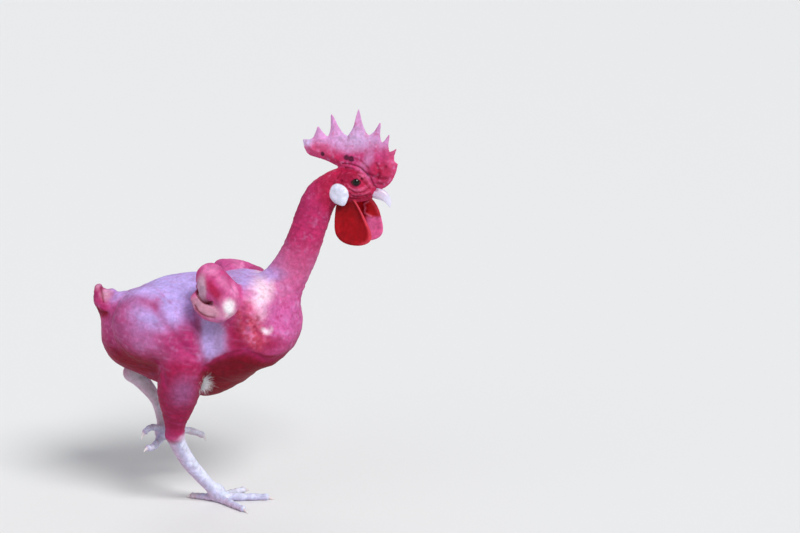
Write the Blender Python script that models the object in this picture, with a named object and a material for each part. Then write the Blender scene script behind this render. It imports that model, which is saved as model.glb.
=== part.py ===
"""Scaleless, featherless rooster at life size, walking, with its left foot lifted.

Metres, +Z up. The bird faces +X and its right side faces -Y. Its midline is the plane y = 0 of
the forms below, and the finished bird is moved so that the sole of the standing foot is the origin.
The flesh is one smooth field made of named forms, and thin cuts part it into its nodes.
"""

import math

import bmesh
import bpy
import numpy as np
from mathutils import Vector

GAP = 0.0003                      # kept between touching nodes
RIGHT = -1.0                      # sign of y on the bird's right side
LEFT = 1.0
FLOOR = 0.0

# cell sizes of the faceted skin, in metres
TRUNK_CELL = 0.0095
CUTTER_CELL = 0.0130
THIGH_CELL = 0.0100
DRUMSTICK_CELL = 0.0085
SHANK_CELL = 0.0048
NECK_CELL = 0.0075
HEAD_CELL = 0.0034
TAIL_CELL = 0.0065
WING_CELL = 0.0075

# trunk: its outline from the side (x, z), from the breast over the back to the belly
TRUNK_CENTRE = (-0.012, 0.226)
TRUNK_OUTLINE = (
    (0.115, 0.232), (0.106, 0.262), (0.078, 0.290), (0.040, 0.302), (-0.015, 0.303),
    (-0.055, 0.298), (-0.093, 0.283), (-0.122, 0.264), (-0.137, 0.238), (-0.128, 0.200),
    (-0.098, 0.176), (-0.055, 0.156), (-0.005, 0.1425), (0.038, 0.1600), (0.0560, 0.1745),
    (0.0640, 0.1870), (0.086, 0.1915), (0.107, 0.209),
)
TRUNK_HALF_WIDTH = 0.061
TRUNK_FULLNESS = 2.35             # 2 is an ellipse, more is fuller
KEEL_NARROWING = 0.34             # share of the width that the lowest part loses
REAR_NARROWING = 0.16
KEEL_REACH = 0.080                # below the trunk's centre, where the narrowing is full
REAR_REACH = 0.120
TRUNK_SLOPE = 4.0                 # least slope taken for the trunk's share when it becomes a distance
SLOPE_STEP = 0.001

# breast muscle on each side, crop, abdomen and the flat of the back: centre, radii, pitch
BREAST = ((0.050, 0.028, 0.216), (0.056, 0.032, 0.034), 0.42)
CROP = ((0.078, 0.0, 0.243), (0.032, 0.036, 0.034), 0.3)
ABDOMEN = ((-0.098, 0.0, 0.222), (0.036, 0.046, 0.036), 0.0)
HIP = ((-0.056, 0.028, 0.264), (0.046, 0.026, 0.020), 0.22)
SHOULDER = ((0.042, 0.040, 0.268), (0.044, 0.026, 0.030), 0.1)

# neck: centre line and radius fore and aft, narrower across
NECK = (
    (0.064, 0.000, 0.248, 0.044), (0.083, 0.000, 0.275, 0.032), (0.1010, 0.000, 0.303, 0.0255),
    (0.1145, 0.000, 0.329, 0.0232), (0.1245, -0.001, 0.355, 0.0222), (0.133, -0.002, 0.380, 0.0218),
    (0.1425, -0.003, 0.4005, 0.0210), (0.157, -0.005, 0.4135, 0.0190), (0.172, -0.007, 0.418, 0.0170),
)
NECK_ACROSS = 0.84

# tail nub
TAIL = (
    (-0.106, 0.0, 0.254, 0.025), (-0.1235, 0.0, 0.259, 0.0178), (-0.1362, 0.0, 0.269, 0.0118),
    (-0.1405, 0.0, 0.2835, 0.0058),
)
TAIL_ACROSS = 1.12
GLAND = ((-0.1265, 0.0, 0.2770), (0.0080, 0.0080, 0.0062), 0.4)

# legs: knee to hock, thigh muscle (centre, radii, pitch, yaw)
RIGHT_TIBIA = (
    (-0.021, -0.049, 0.212, 0.0255), (-0.031, -0.051, 0.188, 0.0280), (-0.0370, -0.049, 0.163, 0.0268),
    (-0.0400, -0.046, 0.141, 0.0205), (-0.0438, -0.043, 0.119, 0.0138), (-0.0450, -0.041, 0.102, 0.0118),
)
LEFT_TIBIA = (
    (-0.004, 0.051, 0.222, 0.0255), (-0.029, 0.050, 0.209, 0.0275), (-0.053, 0.047, 0.197, 0.0250),
    (-0.074, 0.042, 0.185, 0.0190), (-0.092, 0.038, 0.173, 0.0132), (-0.107, 0.034, 0.163, 0.0118),
)
RIGHT_THIGH = ((-0.070, -0.045, 0.244), (0.050, 0.031, 0.045), -0.62, 0.0)
LEFT_THIGH = ((-0.062, 0.044, 0.240), (0.052, 0.031, 0.040), -0.36, 0.0)
RIGHT_FEMUR = (
    (-0.070, -0.041, 0.262, 0.026), (-0.044, -0.048, 0.238, 0.028), (-0.021, -0.049, 0.214, 0.0255),
)
LEFT_FEMUR = (
    (-0.060, 0.040, 0.250, 0.025), (-0.032, 0.048, 0.236, 0.027), (-0.004, 0.051, 0.220, 0.0255),
)
FEMUR_ACROSS = 0.90
TIBIA_ACROSS = 0.92
LEG_MARGIN = 0.0035               # how far outside the leg's own form its cut runs

# shanks, from the hock to the ball of the foot
BALL_HEIGHT = 0.0125
STANDING_BALL = (0.003, -0.006, BALL_HEIGHT)
LIFTED_BALL = (-0.066, 0.006, 0.0905)
HOCK_RADIUS = 0.0118
SHANK_TOP_RADIUS = 0.0102
SHANK_RADIUS = {RIGHT: 0.0096, LEFT: 0.0074}
SHANK_END_RADIUS = 0.0080
BALL_RADIUS = 0.0105
SHANK_ACROSS = 0.78
BALL_FILLET = 0.006
TOE_FILLET = 0.004
STUB_LIFT = 0.0012                # how far the standing foot's stubs stay above the floor
SHANK_BOW = {RIGHT: -0.0080, LEFT: 0.0125}   # how far its middle stands forward of a straight line

# toes: where each starts from the ball, its length to the claw, and its root and end radius
TOE_START = 0.0135
STUB_REACH = 0.0010               # how far each toe's stub on the ball passes its root
TOE_CLEARANCE = 0.0085            # length of the cut that frees each toe from the ball
TOE_MARGIN = 0.0014               # and how much wider than the toe it is
TOE_SPECS = {
    "back": (0.021, 0.0044, 0.0036),
    "inner": (0.031, 0.0050, 0.0038),
    "middle": (0.050, 0.0054, 0.0040),
    "outer": (0.040, 0.0049, 0.0037),
}
CLAW_LENGTH = 0.0125
CLAW_RADIUS = 0.0026
CLAW_CURVE = math.radians(42.0)
CLAW_NARROWING = 0.75
CLAW_RINGS = 4
TOE_SIDES = 8
TOE_RINGS = 7
KNUCKLE_SWELL = 0.10
# heading of each toe from straight ahead, in degrees, turned outwards on its own side
STANDING_HEADINGS = {"back": -160.0, "inner": -46.0, "middle": -3.0, "outer": 47.0}
# each lifted toe: direction at its root (ahead, outwards, up) and how much it curls down, degrees
LIFTED_TOES = {
    "back": ((-0.52, -0.62, 0.62), 66.0),
    "inner": ((-0.26, -0.70, -0.46), -50.0),
    "middle": ((0.70, 0.62, -0.05), 28.0),
    "outer": ((0.02, 0.98, -0.12), 40.0),
}

# folded wings: arm from the shoulder over the elbow to the wrist, then the hand back under it,
# the web of skin to the body and the fold between arm and hand
RIGHT_ARM = (
    (0.038, -0.044, 0.280, 0.0140), (0.024, -0.058, 0.296, 0.0150), (0.011, -0.070, 0.3130, 0.0160),
    (0.008, -0.075, 0.3115, 0.0170), (0.0170, -0.078, 0.2985, 0.0175), (0.0290, -0.079, 0.2855, 0.0130),
)
RIGHT_HAND = (
    (0.0290, -0.079, 0.2775, 0.0130), (0.017, -0.077, 0.2695, 0.0125), (0.001, -0.075, 0.2735, 0.0110),
    (-0.0085, -0.074, 0.2868, 0.0082),
)
RIGHT_WEB = ((0.020, -0.056, 0.286), (0.028, 0.020, 0.020), -0.5)
RIGHT_FOLD = ((0.0015, -0.0692, 0.2975), (0.0125, 0.0098, 0.0165), -0.3)
LEFT_ARM = (
    (0.046, 0.044, 0.278, 0.0140), (0.032, 0.056, 0.285, 0.0145), (0.015, 0.068, 0.2915, 0.0150),
    (0.012, 0.073, 0.2905, 0.0160), (0.031, 0.076, 0.2875, 0.0165), (0.053, 0.077, 0.2820, 0.0135),
)
LEFT_HAND = (
    (0.056, 0.077, 0.2720, 0.0125), (0.041, 0.076, 0.2630, 0.0125), (0.023, 0.074, 0.2635, 0.0110),
    (0.009, 0.072, 0.2710, 0.0080),
)
LEFT_WEB = ((0.030, 0.056, 0.279), (0.030, 0.020, 0.020), -0.2)
LEFT_FOLD = ((0.016, 0.068, 0.2775), (0.0150, 0.0090, 0.0110), -0.1)
WING_ACROSS = 0.72
HAND_FILLET = 0.0035

# head, in its own frame: x ahead, y to the left, z up, turned towards the right side
HEAD_CENTRE = (0.177, -0.007, 0.414)
HEAD_YAW = math.radians(-15.0)
SKULL = ((-0.002, 0.0, 0.0055), (0.0295, 0.0180, 0.0190), 0.05)
FACE = ((0.013, 0.0, -0.001), (0.021, 0.0155, 0.0150), -0.25)
JAW = ((0.002, 0.0, -0.009), (0.024, 0.0140, 0.0110), 0.12)
BEAK_ROOT = ((0.026, 0.0, -0.0035), (0.0110, 0.0088, 0.0085), -0.35)
BROW = ((0.012, 0.0125, 0.0170), (0.0120, 0.0038, 0.0034), -0.12)
CHEEK = ((0.000, 0.0125, -0.006), (0.0105, 0.0060, 0.0075), 0.0)

EYE_CENTRE = (0.0128, 0.0104, 0.0082)
EYE_RADIUS = 0.0068
LID_RING = 0.0057                 # radius of the ring of the lids round the eye's axis
LID_THICKNESS = 0.0016
EYE_AXIS_AHEAD = 0.26             # how far each eye looks ahead of straight sideways
EYE_AXIS_UP = 0.06
EAR = ((-0.0045, 0.0178, 0.0100), 0.0026)
GAPE = ((0.0290, 0.0075, -0.0070), (0.0215, 0.0115, -0.0068), (0.0140, 0.0150, -0.0080))
GAPE_RADIUS = 0.0012
EYE_SEGMENTS = 14
EYE_RINGS = 9
LID_SEGMENTS = 16
LID_SIDES = 6

# beak: stations of (ridge x, z), (edge x, z) and half width, in the head's frame
BEAK_SIDES = 10
BEAK_STEPS = 2
UPPER_BEAK = (
    ((0.0200, 0.0045), (0.0210, -0.0052), 0.0082), ((0.0330, 0.0018), (0.0325, -0.0082), 0.0072),
    ((0.0450, -0.0014), (0.0415, -0.0114), 0.0056), ((0.0525, -0.0082), (0.0475, -0.0156), 0.0042),
    ((0.0553, -0.0160), (0.0508, -0.0196), 0.0026), ((0.0542, -0.0236), (0.0530, -0.0234), 0.0006),
)
LOWER_BEAK = (
    ((0.0200, -0.0108), (0.0200, -0.0045), 0.0068), ((0.0320, -0.0128), (0.0325, -0.0075), 0.0060),
    ((0.0405, -0.0148), (0.0415, -0.0105), 0.0042), ((0.0470, -0.0172), (0.0475, -0.0140), 0.0016),
)
EDGE_ROUNDING = 0.12
NOSTRIL = ((0.0360, 0.0062, -0.0015), (0.0030, 0.0018, 0.0012), -0.15)

# comb: spikes as (tip x, tip z) and the valley before each, in the head's frame, rear to front
COMB_REAR = (-0.0570, 0.0475)
COMB_SPIKES = (
    (-0.0585, 0.0580), (-0.0390, 0.0755), (-0.0215, 0.0920), (0.0135, 0.0985),
    (0.0415, 0.0825), (0.0530, 0.0680), (0.0620, 0.0500), (0.0638, 0.0310),
)
COMB_VALLEYS = (
    (-0.0475, 0.0595), (-0.0262, 0.0628), (-0.0010, 0.0642), (0.0265, 0.0655),
    (0.0432, 0.0572), (0.0530, 0.0460), (0.0590, 0.0350),
)
COMB_BASE = (
    (-0.0570, 0.0475), (-0.0500, 0.0385), (-0.0303, 0.0330), (-0.0095, 0.0235), (0.0100, 0.0130),
    (0.0290, 0.0035), (0.0440, 0.0000), (0.0545, 0.0075), (0.0612, 0.0200), (0.0634, 0.0290),
)
COMB_ROOT_THICKNESS = 0.0105
COMB_TIP_THICKNESS = 0.0026
COMB_THINNING = 0.080             # height over which it thins from root to tip
COMB_ROWS = (0.0, 0.08, 0.42, 0.84, 1.0)
COMB_STEPS = 3                    # points on each flank of a spike
COMB_HOLLOW = 0.03

# wattles and earlobes, in the head's frame, written for the left side
WATTLE_TOP = (0.0085, -0.0060)     # how far out and up its top is
WATTLE_START = {RIGHT: -0.0020, LEFT: 0.0098}   # how far ahead its top is
WATTLE_LEAN = {RIGHT: 0.0165, LEFT: 0.0080}     # and how much farther ahead its lower end
WATTLE_HEIGHT = 0.0650
WATTLE_HALF_LENGTH = 0.0255
WATTLE_SQUARENESS = 3.2           # 2 makes its outline an ellipse
# of the half length: at the top, and what it gains downwards
WATTLE_SHARES = {RIGHT: (0.42, 0.74), LEFT: (0.76, 0.34)}
WATTLE_HALF_THICKNESS = 0.0030
WATTLE_SPLAY = 0.0100
WATTLE_CUP = 0.0030
WATTLE_SEGMENTS = 16
WATTLE_RINGS = 8
EARLOBE_CENTRE = (-0.0068, 0.0180, -0.0078)
EARLOBE_HALF = (0.0120, 0.0032, 0.0146)
EARLOBE_TILT = 0.42
EARLOBE_POINT = 0.45              # share of its width that the lower end loses
EARLOBE_SEGMENTS = 12
EARLOBE_RINGS = 6

BLEND_WIDE = 0.022
BLEND_NECK = 0.016
BLEND_LIMB = 0.012
BLEND_HEAD = 0.006
BLEND_FINE = 0.0022

# cuts between the nodes: a point and the direction that faces away from the first of the two
NECK_CUT = ((0.0925, 0.0, 0.2885), (0.627, 0.0, 0.779))
HEAD_CUT = ((0.1460, -0.002, 0.4050), (0.800, -0.10, 0.600))
TAIL_CUT = ((-0.1240, 0.0, 0.261), (-0.93, 0.0, 0.37))
KNEE_CUTS = {
    RIGHT: ((-0.030, -0.050, 0.198), (0.28, 0.0, -0.96)),
    LEFT: ((-0.056, 0.047, 0.206), (0.49, 0.0, -0.87)),
}
HOCK_CUT_DROP = 0.0050            # how far below the hock's centre the shank starts

# boxes that hold each form's surface, low and high corner; those of paired forms are for the left side
TORSO_BOX = ((-0.165, -0.110, 0.125), (0.150, 0.110, 0.345))
TAIL_BOX = ((-0.170, -0.045, 0.215), (-0.090, 0.045, 0.310))
NECK_BOX = ((0.020, -0.060, 0.250), (0.185, 0.050, 0.455))
HEAD_BOX = ((-0.060, -0.040, -0.045), (0.050, 0.040, 0.040))
LEG_BOXES = {
    RIGHT: ((-0.140, 0.000, 0.075), (0.040, 0.105, 0.320)),
    LEFT: ((-0.140, 0.000, 0.130), (0.045, 0.105, 0.320)),
}
THIGH_BOX = ((-0.150, 0.003, 0.150), (0.060, 0.105, 0.330))
DRUMSTICK_BOX = ((-0.150, 0.003, 0.070), (0.050, 0.105, 0.290))
WING_BOX = ((-0.035, 0.020, 0.230), (0.095, 0.110, 0.350))
SHANK_BOX_MARGIN = 0.022

MERGE = 0.00002
DOUBLE = 0.000002                 # corners this near each other count as one place
PARTING = 0.00003                 # and are moved this far apart
SNAP = 0.0005                     # corners this near a cut are moved onto it
THINNING = 0.60                   # share of the triangles kept on flat flesh
FINE_THINNING = 0.48              # the same on the head and the shanks

# colour and roughness of each slot
COLOURS = {
    "skin": (0.78, 0.30, 0.38), "neck": (0.62, 0.12, 0.20), "comb": (0.72, 0.18, 0.28),
    "wattle": (0.66, 0.03, 0.04), "earlobe": (0.86, 0.86, 0.90), "beak": (0.84, 0.78, 0.72),
    "shank": (0.78, 0.72, 0.76), "claw": (0.70, 0.62, 0.56), "eye": (0.10, 0.04, 0.02),
}
ROUGHNESS = {"eye": 0.08, "beak": 0.35, "claw": 0.4}


def clear_scene():
    for item in list(bpy.data.objects):
        bpy.data.objects.remove(item, do_unlink=True)


def material(slot):
    found = bpy.data.materials.get(slot)
    if found:
        return found
    made = bpy.data.materials.new(slot)
    made.use_nodes = True
    shader = made.node_tree.nodes["Principled BSDF"]
    shader.inputs["Base Color"].default_value = (*COLOURS[slot], 1.0)
    shader.inputs["Roughness"].default_value = ROUGHNESS.get(slot, 0.5)
    shader.inputs["Metallic"].default_value = 0.0
    return made


# Fields: each takes points (n, 3) and gives a distance that is negative inside

def blend(a, b, width):
    """Smooth union of two fields, with a fillet about this wide."""
    share = np.clip(0.5 + 0.5 * (b - a) / width, 0.0, 1.0)
    return b * (1.0 - share) + a * share - width * share * (1.0 - share)


def ellipsoid(points, centre, radii, pitch=0.0, yaw=0.0):
    """An ellipsoid whose long axis is pitched up and turned about the vertical."""
    offset = points - np.asarray(centre)
    ahead = offset[:, 0] * math.cos(yaw) + offset[:, 1] * math.sin(yaw)
    side = -offset[:, 0] * math.sin(yaw) + offset[:, 1] * math.cos(yaw)
    along = ahead * math.cos(pitch) + offset[:, 2] * math.sin(pitch)
    up = -ahead * math.sin(pitch) + offset[:, 2] * math.cos(pitch)
    local = np.stack([along, side, up], axis=1) / np.asarray(radii)
    reach = np.linalg.norm(local, axis=1)
    slope = np.linalg.norm(local / np.asarray(radii), axis=1)
    return reach * (reach - 1.0) / np.maximum(slope, 1e-9)


def mirrored(form):
    """The same form on the other side of the midline."""
    centre = form[0]
    return ((centre[0], -centre[1], centre[2]),) + tuple(form[1:])


def smooth_curve(stations, steps):
    """Points of a smooth curve through the stations, the same number in each span."""
    knots = np.asarray(stations, dtype=float)
    padded = np.vstack([2 * knots[0] - knots[1], knots, 2 * knots[-1] - knots[-2]])
    curve = []
    for i in range(1, len(padded) - 2):
        before, start, end, after = padded[i - 1:i + 3]
        for t in np.linspace(0.0, 1.0, steps, endpoint=False):
            curve.append(0.5 * (2 * start + (end - before) * t
                                + (2 * before - 5 * start + 4 * end - after) * t * t
                                + (3 * start - before - 3 * end + after) * t ** 3))
    curve.append(knots[-1])
    return np.array(curve)


def limb(points, stations, across=1.0, steps=3):
    """A tapered limb through stations (x, y, z, radius), flattened from side to side."""
    curve = smooth_curve(stations, steps)
    nearest = np.full(len(points), np.inf)
    squash = np.array([1.0, 1.0 / across, 1.0])
    for start, end in zip(curve[:-1], curve[1:]):
        axis = (end[:3] - start[:3]) * squash
        offset = (points - start[:3]) * squash
        t = np.clip(offset @ axis / (axis @ axis), 0.0, 1.0)
        radius = start[3] + t * (end[3] - start[3])
        nearest = np.minimum(nearest, np.linalg.norm(offset - t[:, None] * axis, axis=1) - radius)
    return nearest


def outline_reach(steps=8):
    """Angle and distance from the trunk's centre of its side outline."""
    closed = TRUNK_OUTLINE[-1:] + TRUNK_OUTLINE + TRUNK_OUTLINE[:2]
    curve = smooth_curve(closed, steps)[steps:-2 * steps]
    offset = curve - np.array(TRUNK_CENTRE)
    angle = np.arctan2(offset[:, 1], offset[:, 0])
    order = np.argsort(angle)
    return angle[order], np.hypot(offset[:, 0], offset[:, 1])[order]


OUTLINE_ANGLE, OUTLINE_REACH = outline_reach()


def trunk_share(points):
    """Share of the way out to the trunk's surface, 1 on it."""
    ahead = points[:, 0] - TRUNK_CENTRE[0]
    up = points[:, 2] - TRUNK_CENTRE[1]
    reach = np.interp(np.arctan2(up, ahead), OUTLINE_ANGLE, OUTLINE_REACH, period=2 * math.pi)
    low = np.clip(-up / KEEL_REACH, 0.0, 1.0)
    rear = np.clip(-ahead / REAR_REACH, 0.0, 1.0)
    width = TRUNK_HALF_WIDTH * (1.0 - KEEL_NARROWING * low ** 1.6) * (1.0 - REAR_NARROWING * rear ** 2)
    side = np.abs(points[:, 1]) / width
    n = TRUNK_FULLNESS
    return ((np.hypot(ahead, up) / reach) ** n + side ** n) ** (1.0 / n)


def gradient(field, points, step):
    """Slope of a field by central differences."""
    slopes = []
    for axis in range(3):
        shift = np.zeros(3)
        shift[axis] = step
        slopes.append((field(points + shift) - field(points - shift)) / (2 * step))
    return np.stack(slopes, axis=1)


def trunk(points):
    share = trunk_share(points)
    slope = np.linalg.norm(gradient(trunk_share, points, SLOPE_STEP), axis=1)
    return (share - 1.0) / np.maximum(slope, TRUNK_SLOPE)


def torso_field(points):
    """Trunk with its muscles, crop and abdomen, without neck, tail or legs."""
    field = trunk(points)
    for form in (BREAST, mirrored(BREAST), SHOULDER, mirrored(SHOULDER), HIP, mirrored(HIP)):
        field = blend(field, ellipsoid(points, *form), BLEND_NECK)
    for form in (CROP, ABDOMEN):
        field = blend(field, ellipsoid(points, *form), BLEND_NECK)
    return field


def tail_field(points):
    field = limb(points, TAIL, TAIL_ACROSS)
    return blend(field, ellipsoid(points, *GLAND), BLEND_HEAD)


def leg_field(points, side):
    """Thigh and drumstick of one side down to the hock."""
    thigh, femur, tibia = (
        (RIGHT_THIGH, RIGHT_FEMUR, RIGHT_TIBIA) if side < 0 else (LEFT_THIGH, LEFT_FEMUR, LEFT_TIBIA)
    )
    field = blend(ellipsoid(points, *thigh), limb(points, femur, FEMUR_ACROSS), BLEND_WIDE)
    return blend(field, limb(points, tibia, TIBIA_ACROSS), BLEND_LIMB)


def body_field(points):
    """All the flesh from the neck to the hocks."""
    field = blend(torso_field(points), limb(points, NECK, NECK_ACROSS), BLEND_NECK)
    field = blend(field, tail_field(points), BLEND_LIMB)
    for side in (RIGHT, LEFT):
        field = blend(field, leg_field(points, side), BLEND_LIMB)
    return field


def foot_frame(side):
    """Ball, hock, and each toe's direction and curl for one foot, in the body's frame."""
    toes = {}
    if side < 0:
        ball = np.array(STANDING_BALL)
        hock = np.array(RIGHT_TIBIA[-1][:3])
        for name, heading in STANDING_HEADINGS.items():
            turn = math.radians(heading)
            toes[name] = (np.array([math.cos(turn), side * math.sin(turn), 0.0]), 0.0)
    else:
        ball = np.array(LIFTED_BALL)
        hock = np.array(LEFT_TIBIA[-1][:3])
        for name, (direction, curl) in LIFTED_TOES.items():
            unit = np.array([direction[0], side * direction[1], direction[2]])
            toes[name] = (unit / np.linalg.norm(unit), math.radians(curl))
    return ball, hock, toes


def shank_field(points, side):
    """Shank with the hock's knob, the ball of the foot and a stub for each toe."""
    ball, hock, toes = foot_frame(side)
    stations = []
    for down, radius in ((0.0, HOCK_RADIUS), (0.18, SHANK_TOP_RADIUS), (0.48, SHANK_RADIUS[side]),
                         (0.86, SHANK_END_RADIUS), (1.0, SHANK_END_RADIUS)):
        centre = hock * (1.0 - down) + ball * down
        centre[0] += SHANK_BOW[side] * 4.0 * down * (1.0 - down)
        stations.append((*centre, radius))
    field = limb(points, stations, SHANK_ACROSS)
    field = blend(field, np.linalg.norm(points - ball, axis=1) - BALL_RADIUS, BALL_FILLET)
    for name, (direction, _) in toes.items():
        root = TOE_SPECS[name][1]
        inner = ball + np.array([0.0, 0.0, -BALL_HEIGHT + root + STUB_LIFT]) * (side < 0)
        stub = (tuple(inner) + (root,), tuple(inner + direction * (TOE_START + STUB_REACH)) + (root,))
        field = blend(field, limb(points, stub, 1.0, 1), TOE_FILLET)
    return field


def to_head(points):
    """World points in the head's own frame."""
    offset = points - np.asarray(HEAD_CENTRE)
    c, s = math.cos(HEAD_YAW), math.sin(HEAD_YAW)
    ahead, left = offset[:, 0], offset[:, 1]
    return np.stack([ahead * c + left * s, -ahead * s + left * c, offset[:, 2]], axis=1)


def from_head(point):
    """A point of the head's frame in the world."""
    c, s = math.cos(HEAD_YAW), math.sin(HEAD_YAW)
    x, y, z = point
    return (HEAD_CENTRE[0] + x * c - y * s, HEAD_CENTRE[1] + x * s + y * c, HEAD_CENTRE[2] + z)


def head_field(points):
    """Neck and head without the eyes' sockets and lids."""
    local = to_head(points)
    field = limb(points, NECK, NECK_ACROSS)
    for form in (SKULL, FACE, JAW, BEAK_ROOT):
        field = blend(field, ellipsoid(local, *form), BLEND_HEAD)
    for form in (BROW, mirrored(BROW), CHEEK, mirrored(CHEEK)):
        field = blend(field, ellipsoid(local, *form), BLEND_FINE)
    return field


def wing_field(points, side):
    """A folded wing: the arm, the skin that joins it to the body, and the hand beneath."""
    if side < 0:
        arm, hand, web, fold = RIGHT_ARM, RIGHT_HAND, RIGHT_WEB, RIGHT_FOLD
    else:
        arm, hand, web, fold = LEFT_ARM, LEFT_HAND, LEFT_WEB, LEFT_FOLD
    field = blend(limb(points, arm, WING_ACROSS), ellipsoid(points, *web), BLEND_HEAD)
    field = blend(field, limb(points, hand, WING_ACROSS), HAND_FILLET)
    return blend(field, ellipsoid(points, *fold), HAND_FILLET)


# Meshes

def faceted_skin(field, low, high, cell, rounds=3):
    """Closed triangle mesh of the surface where the field is zero inside a box."""
    low = np.asarray(low, dtype=float)
    counts = np.ceil((np.asarray(high) - low) / cell).astype(int) + 1
    index = np.stack(np.meshgrid(*[np.arange(n) for n in counts], indexing="ij"), axis=-1)
    values = field(low + index.reshape(-1, 3) * cell).reshape(counts)
    for axis in range(3):
        for end in (0, -1):
            border = [slice(None)] * 3
            border[axis] = end
            values[tuple(border)] = np.maximum(values[tuple(border)], cell)
    inside = values < 0.0
    cells = counts - 1
    total = np.zeros(tuple(cells) + (3,))
    crossings = np.zeros(tuple(cells))

    def corner(array, offset):
        return array[tuple(slice(o, o + n) for o, n in zip(offset, cells))]

    for axis in range(3):
        others = [a for a in range(3) if a != axis]
        for first in (0, 1):
            for second in (0, 1):
                start = np.zeros(3, dtype=int)
                start[others[0]] = first
                start[others[1]] = second
                end = start.copy()
                end[axis] = 1
                a, b = corner(values, start), corner(values, end)
                crosses = corner(inside, start) != corner(inside, end)
                t = np.where(crosses, a / np.where(crosses, a - b, 1.0), 0.0)
                place = np.broadcast_to(start, a.shape + (3,)).astype(float).copy()
                place[..., axis] += t
                total += place * crosses[..., None]
                crossings += crosses
    active = crossings > 0
    number = np.full(tuple(cells), -1)
    number[active] = np.arange(active.sum())
    base = np.argwhere(active)
    points = low + (base + total[active] / crossings[active][:, None]) * cell

    quads = []
    for axis in range(3):
        u, v = (axis + 1) % 3, (axis + 2) % 3
        here = [slice(1, n - 1) for n in counts]
        here[axis] = slice(0, counts[axis] - 1)
        there = list(here)
        there[axis] = slice(1, counts[axis])
        a, b = inside[tuple(here)], inside[tuple(there)]
        edges = np.argwhere(a != b) + np.array([s.start for s in here])
        outward = inside[tuple(edges.T)]
        ring = []
        for du, dv in ((0, 0), (-1, 0), (-1, -1), (0, -1)):
            shifted = edges.copy()
            shifted[:, u] += du
            shifted[:, v] += dv
            ring.append(number[tuple(shifted.T)])
        ring = np.stack(ring, axis=1)
        ring[~outward] = ring[~outward][:, ::-1]
        quads.append(ring)
    quads = np.vstack(quads)

    links = np.vstack([quads[:, [i, (i + 1) % 4]] for i in range(4)])
    links = np.vstack([links, links[:, ::-1]])
    degree = np.bincount(links[:, 0], minlength=len(points))
    for step in range(rounds + 2):
        if step < rounds:
            mean = np.zeros_like(points)
            np.add.at(mean, links[:, 0], points[links[:, 1]])
            points = 0.5 * points + 0.5 * mean / degree[:, None]
        value = field(points)
        slope = gradient(field, points, cell * 0.05)
        move = -(value / np.maximum((slope ** 2).sum(axis=1), 0.05))[:, None] * slope
        far = np.linalg.norm(move, axis=1) > cell
        move[far] = 0.0
        points = points + move
    return points, split_quads(points, quads)


def split_quads(points, quads):
    """Triangles of the quads, each split along its shorter diagonal."""
    a, b, c, d = (points[quads[:, i]] for i in range(4))
    first = np.linalg.norm(a - c, axis=1) <= np.linalg.norm(b - d, axis=1)
    one = quads[first]
    two = quads[~first]
    return np.vstack([one[:, [0, 1, 2]], one[:, [0, 2, 3]], two[:, [0, 1, 3]], two[:, [1, 2, 3]]])


def bmesh_from(points, faces):
    made = bmesh.new()
    vertices = [made.verts.new(p) for p in points]
    for face in faces:
        made.faces.new([vertices[i] for i in face])
    bmesh.ops.recalc_face_normals(made, faces=made.faces)
    return made


def keep_behind(made, point, normal):
    """Keeps what lies behind a plane, half a gap from it, and closes the cut with a flat face."""
    normal = Vector(normal).normalized()
    point = Vector(point) - normal * (GAP / 2)
    for vertex in made.verts:
        distance = (vertex.co - point).dot(normal)
        if abs(distance) < SNAP:
            vertex.co -= normal * distance
    geometry = made.verts[:] + made.edges[:] + made.faces[:]
    bmesh.ops.bisect_plane(made, geom=geometry, plane_co=point, plane_no=normal, clear_outer=True, dist=1e-6)
    rim = [e for e in made.edges if e.is_boundary]
    if rim:
        bmesh.ops.triangle_fill(made, edges=rim, use_beauty=True)
    bmesh.ops.recalc_face_normals(made, faces=made.faces)


def thinned(made, share):
    """The same surface with fewer triangles, kept small where it curves most."""
    item = node("thin", made, "skin")
    change = item.modifiers.new("fewer", "DECIMATE")
    change.ratio = share
    graph = bpy.context.evaluated_depsgraph_get()
    result = bmesh.new()
    result.from_mesh(item.evaluated_get(graph).to_mesh())
    mesh = item.data
    bpy.data.objects.remove(item)
    bpy.data.meshes.remove(mesh)
    return result


def keep_largest(made):
    """Drops every closed surface but the largest."""
    left = set(made.faces)
    groups = []
    while left:
        seed = left.pop()
        group = {seed}
        edge_faces = [seed]
        while edge_faces:
            face = edge_faces.pop()
            for edge in face.edges:
                for other in edge.link_faces:
                    if other in left:
                        left.discard(other)
                        group.add(other)
                        edge_faces.append(other)
        groups.append(group)
    groups.sort(key=len)
    for group in groups[:-1]:
        bmesh.ops.delete(made, geom=list(group), context="FACES")
    loose = [v for v in made.verts if not v.link_faces]
    bmesh.ops.delete(made, geom=loose, context="VERTS")


def node(name, made, slot):
    """A finished object from a bmesh."""
    bmesh.ops.triangulate(made, faces=made.faces[:])
    mesh = bpy.data.meshes.new(name)
    made.to_mesh(mesh)
    made.free()
    mesh.shade_smooth()
    item = bpy.data.objects.new(name, mesh)
    mesh.materials.append(material(slot))
    bpy.context.scene.collection.objects.link(item)
    return item


def grown(made, distance):
    """A copy of a closed mesh moved out along its normals."""
    copy = made.copy()
    copy.normal_update()
    moves = [(v, v.normal * distance * v.calc_shell_factor()) for v in copy.verts]
    for vertex, move in moves:
        vertex.co += move
    return copy


def is_closed(made):
    return len(made.faces) > 3 and all(len(edge.link_faces) == 2 for edge in made.edges)


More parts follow.
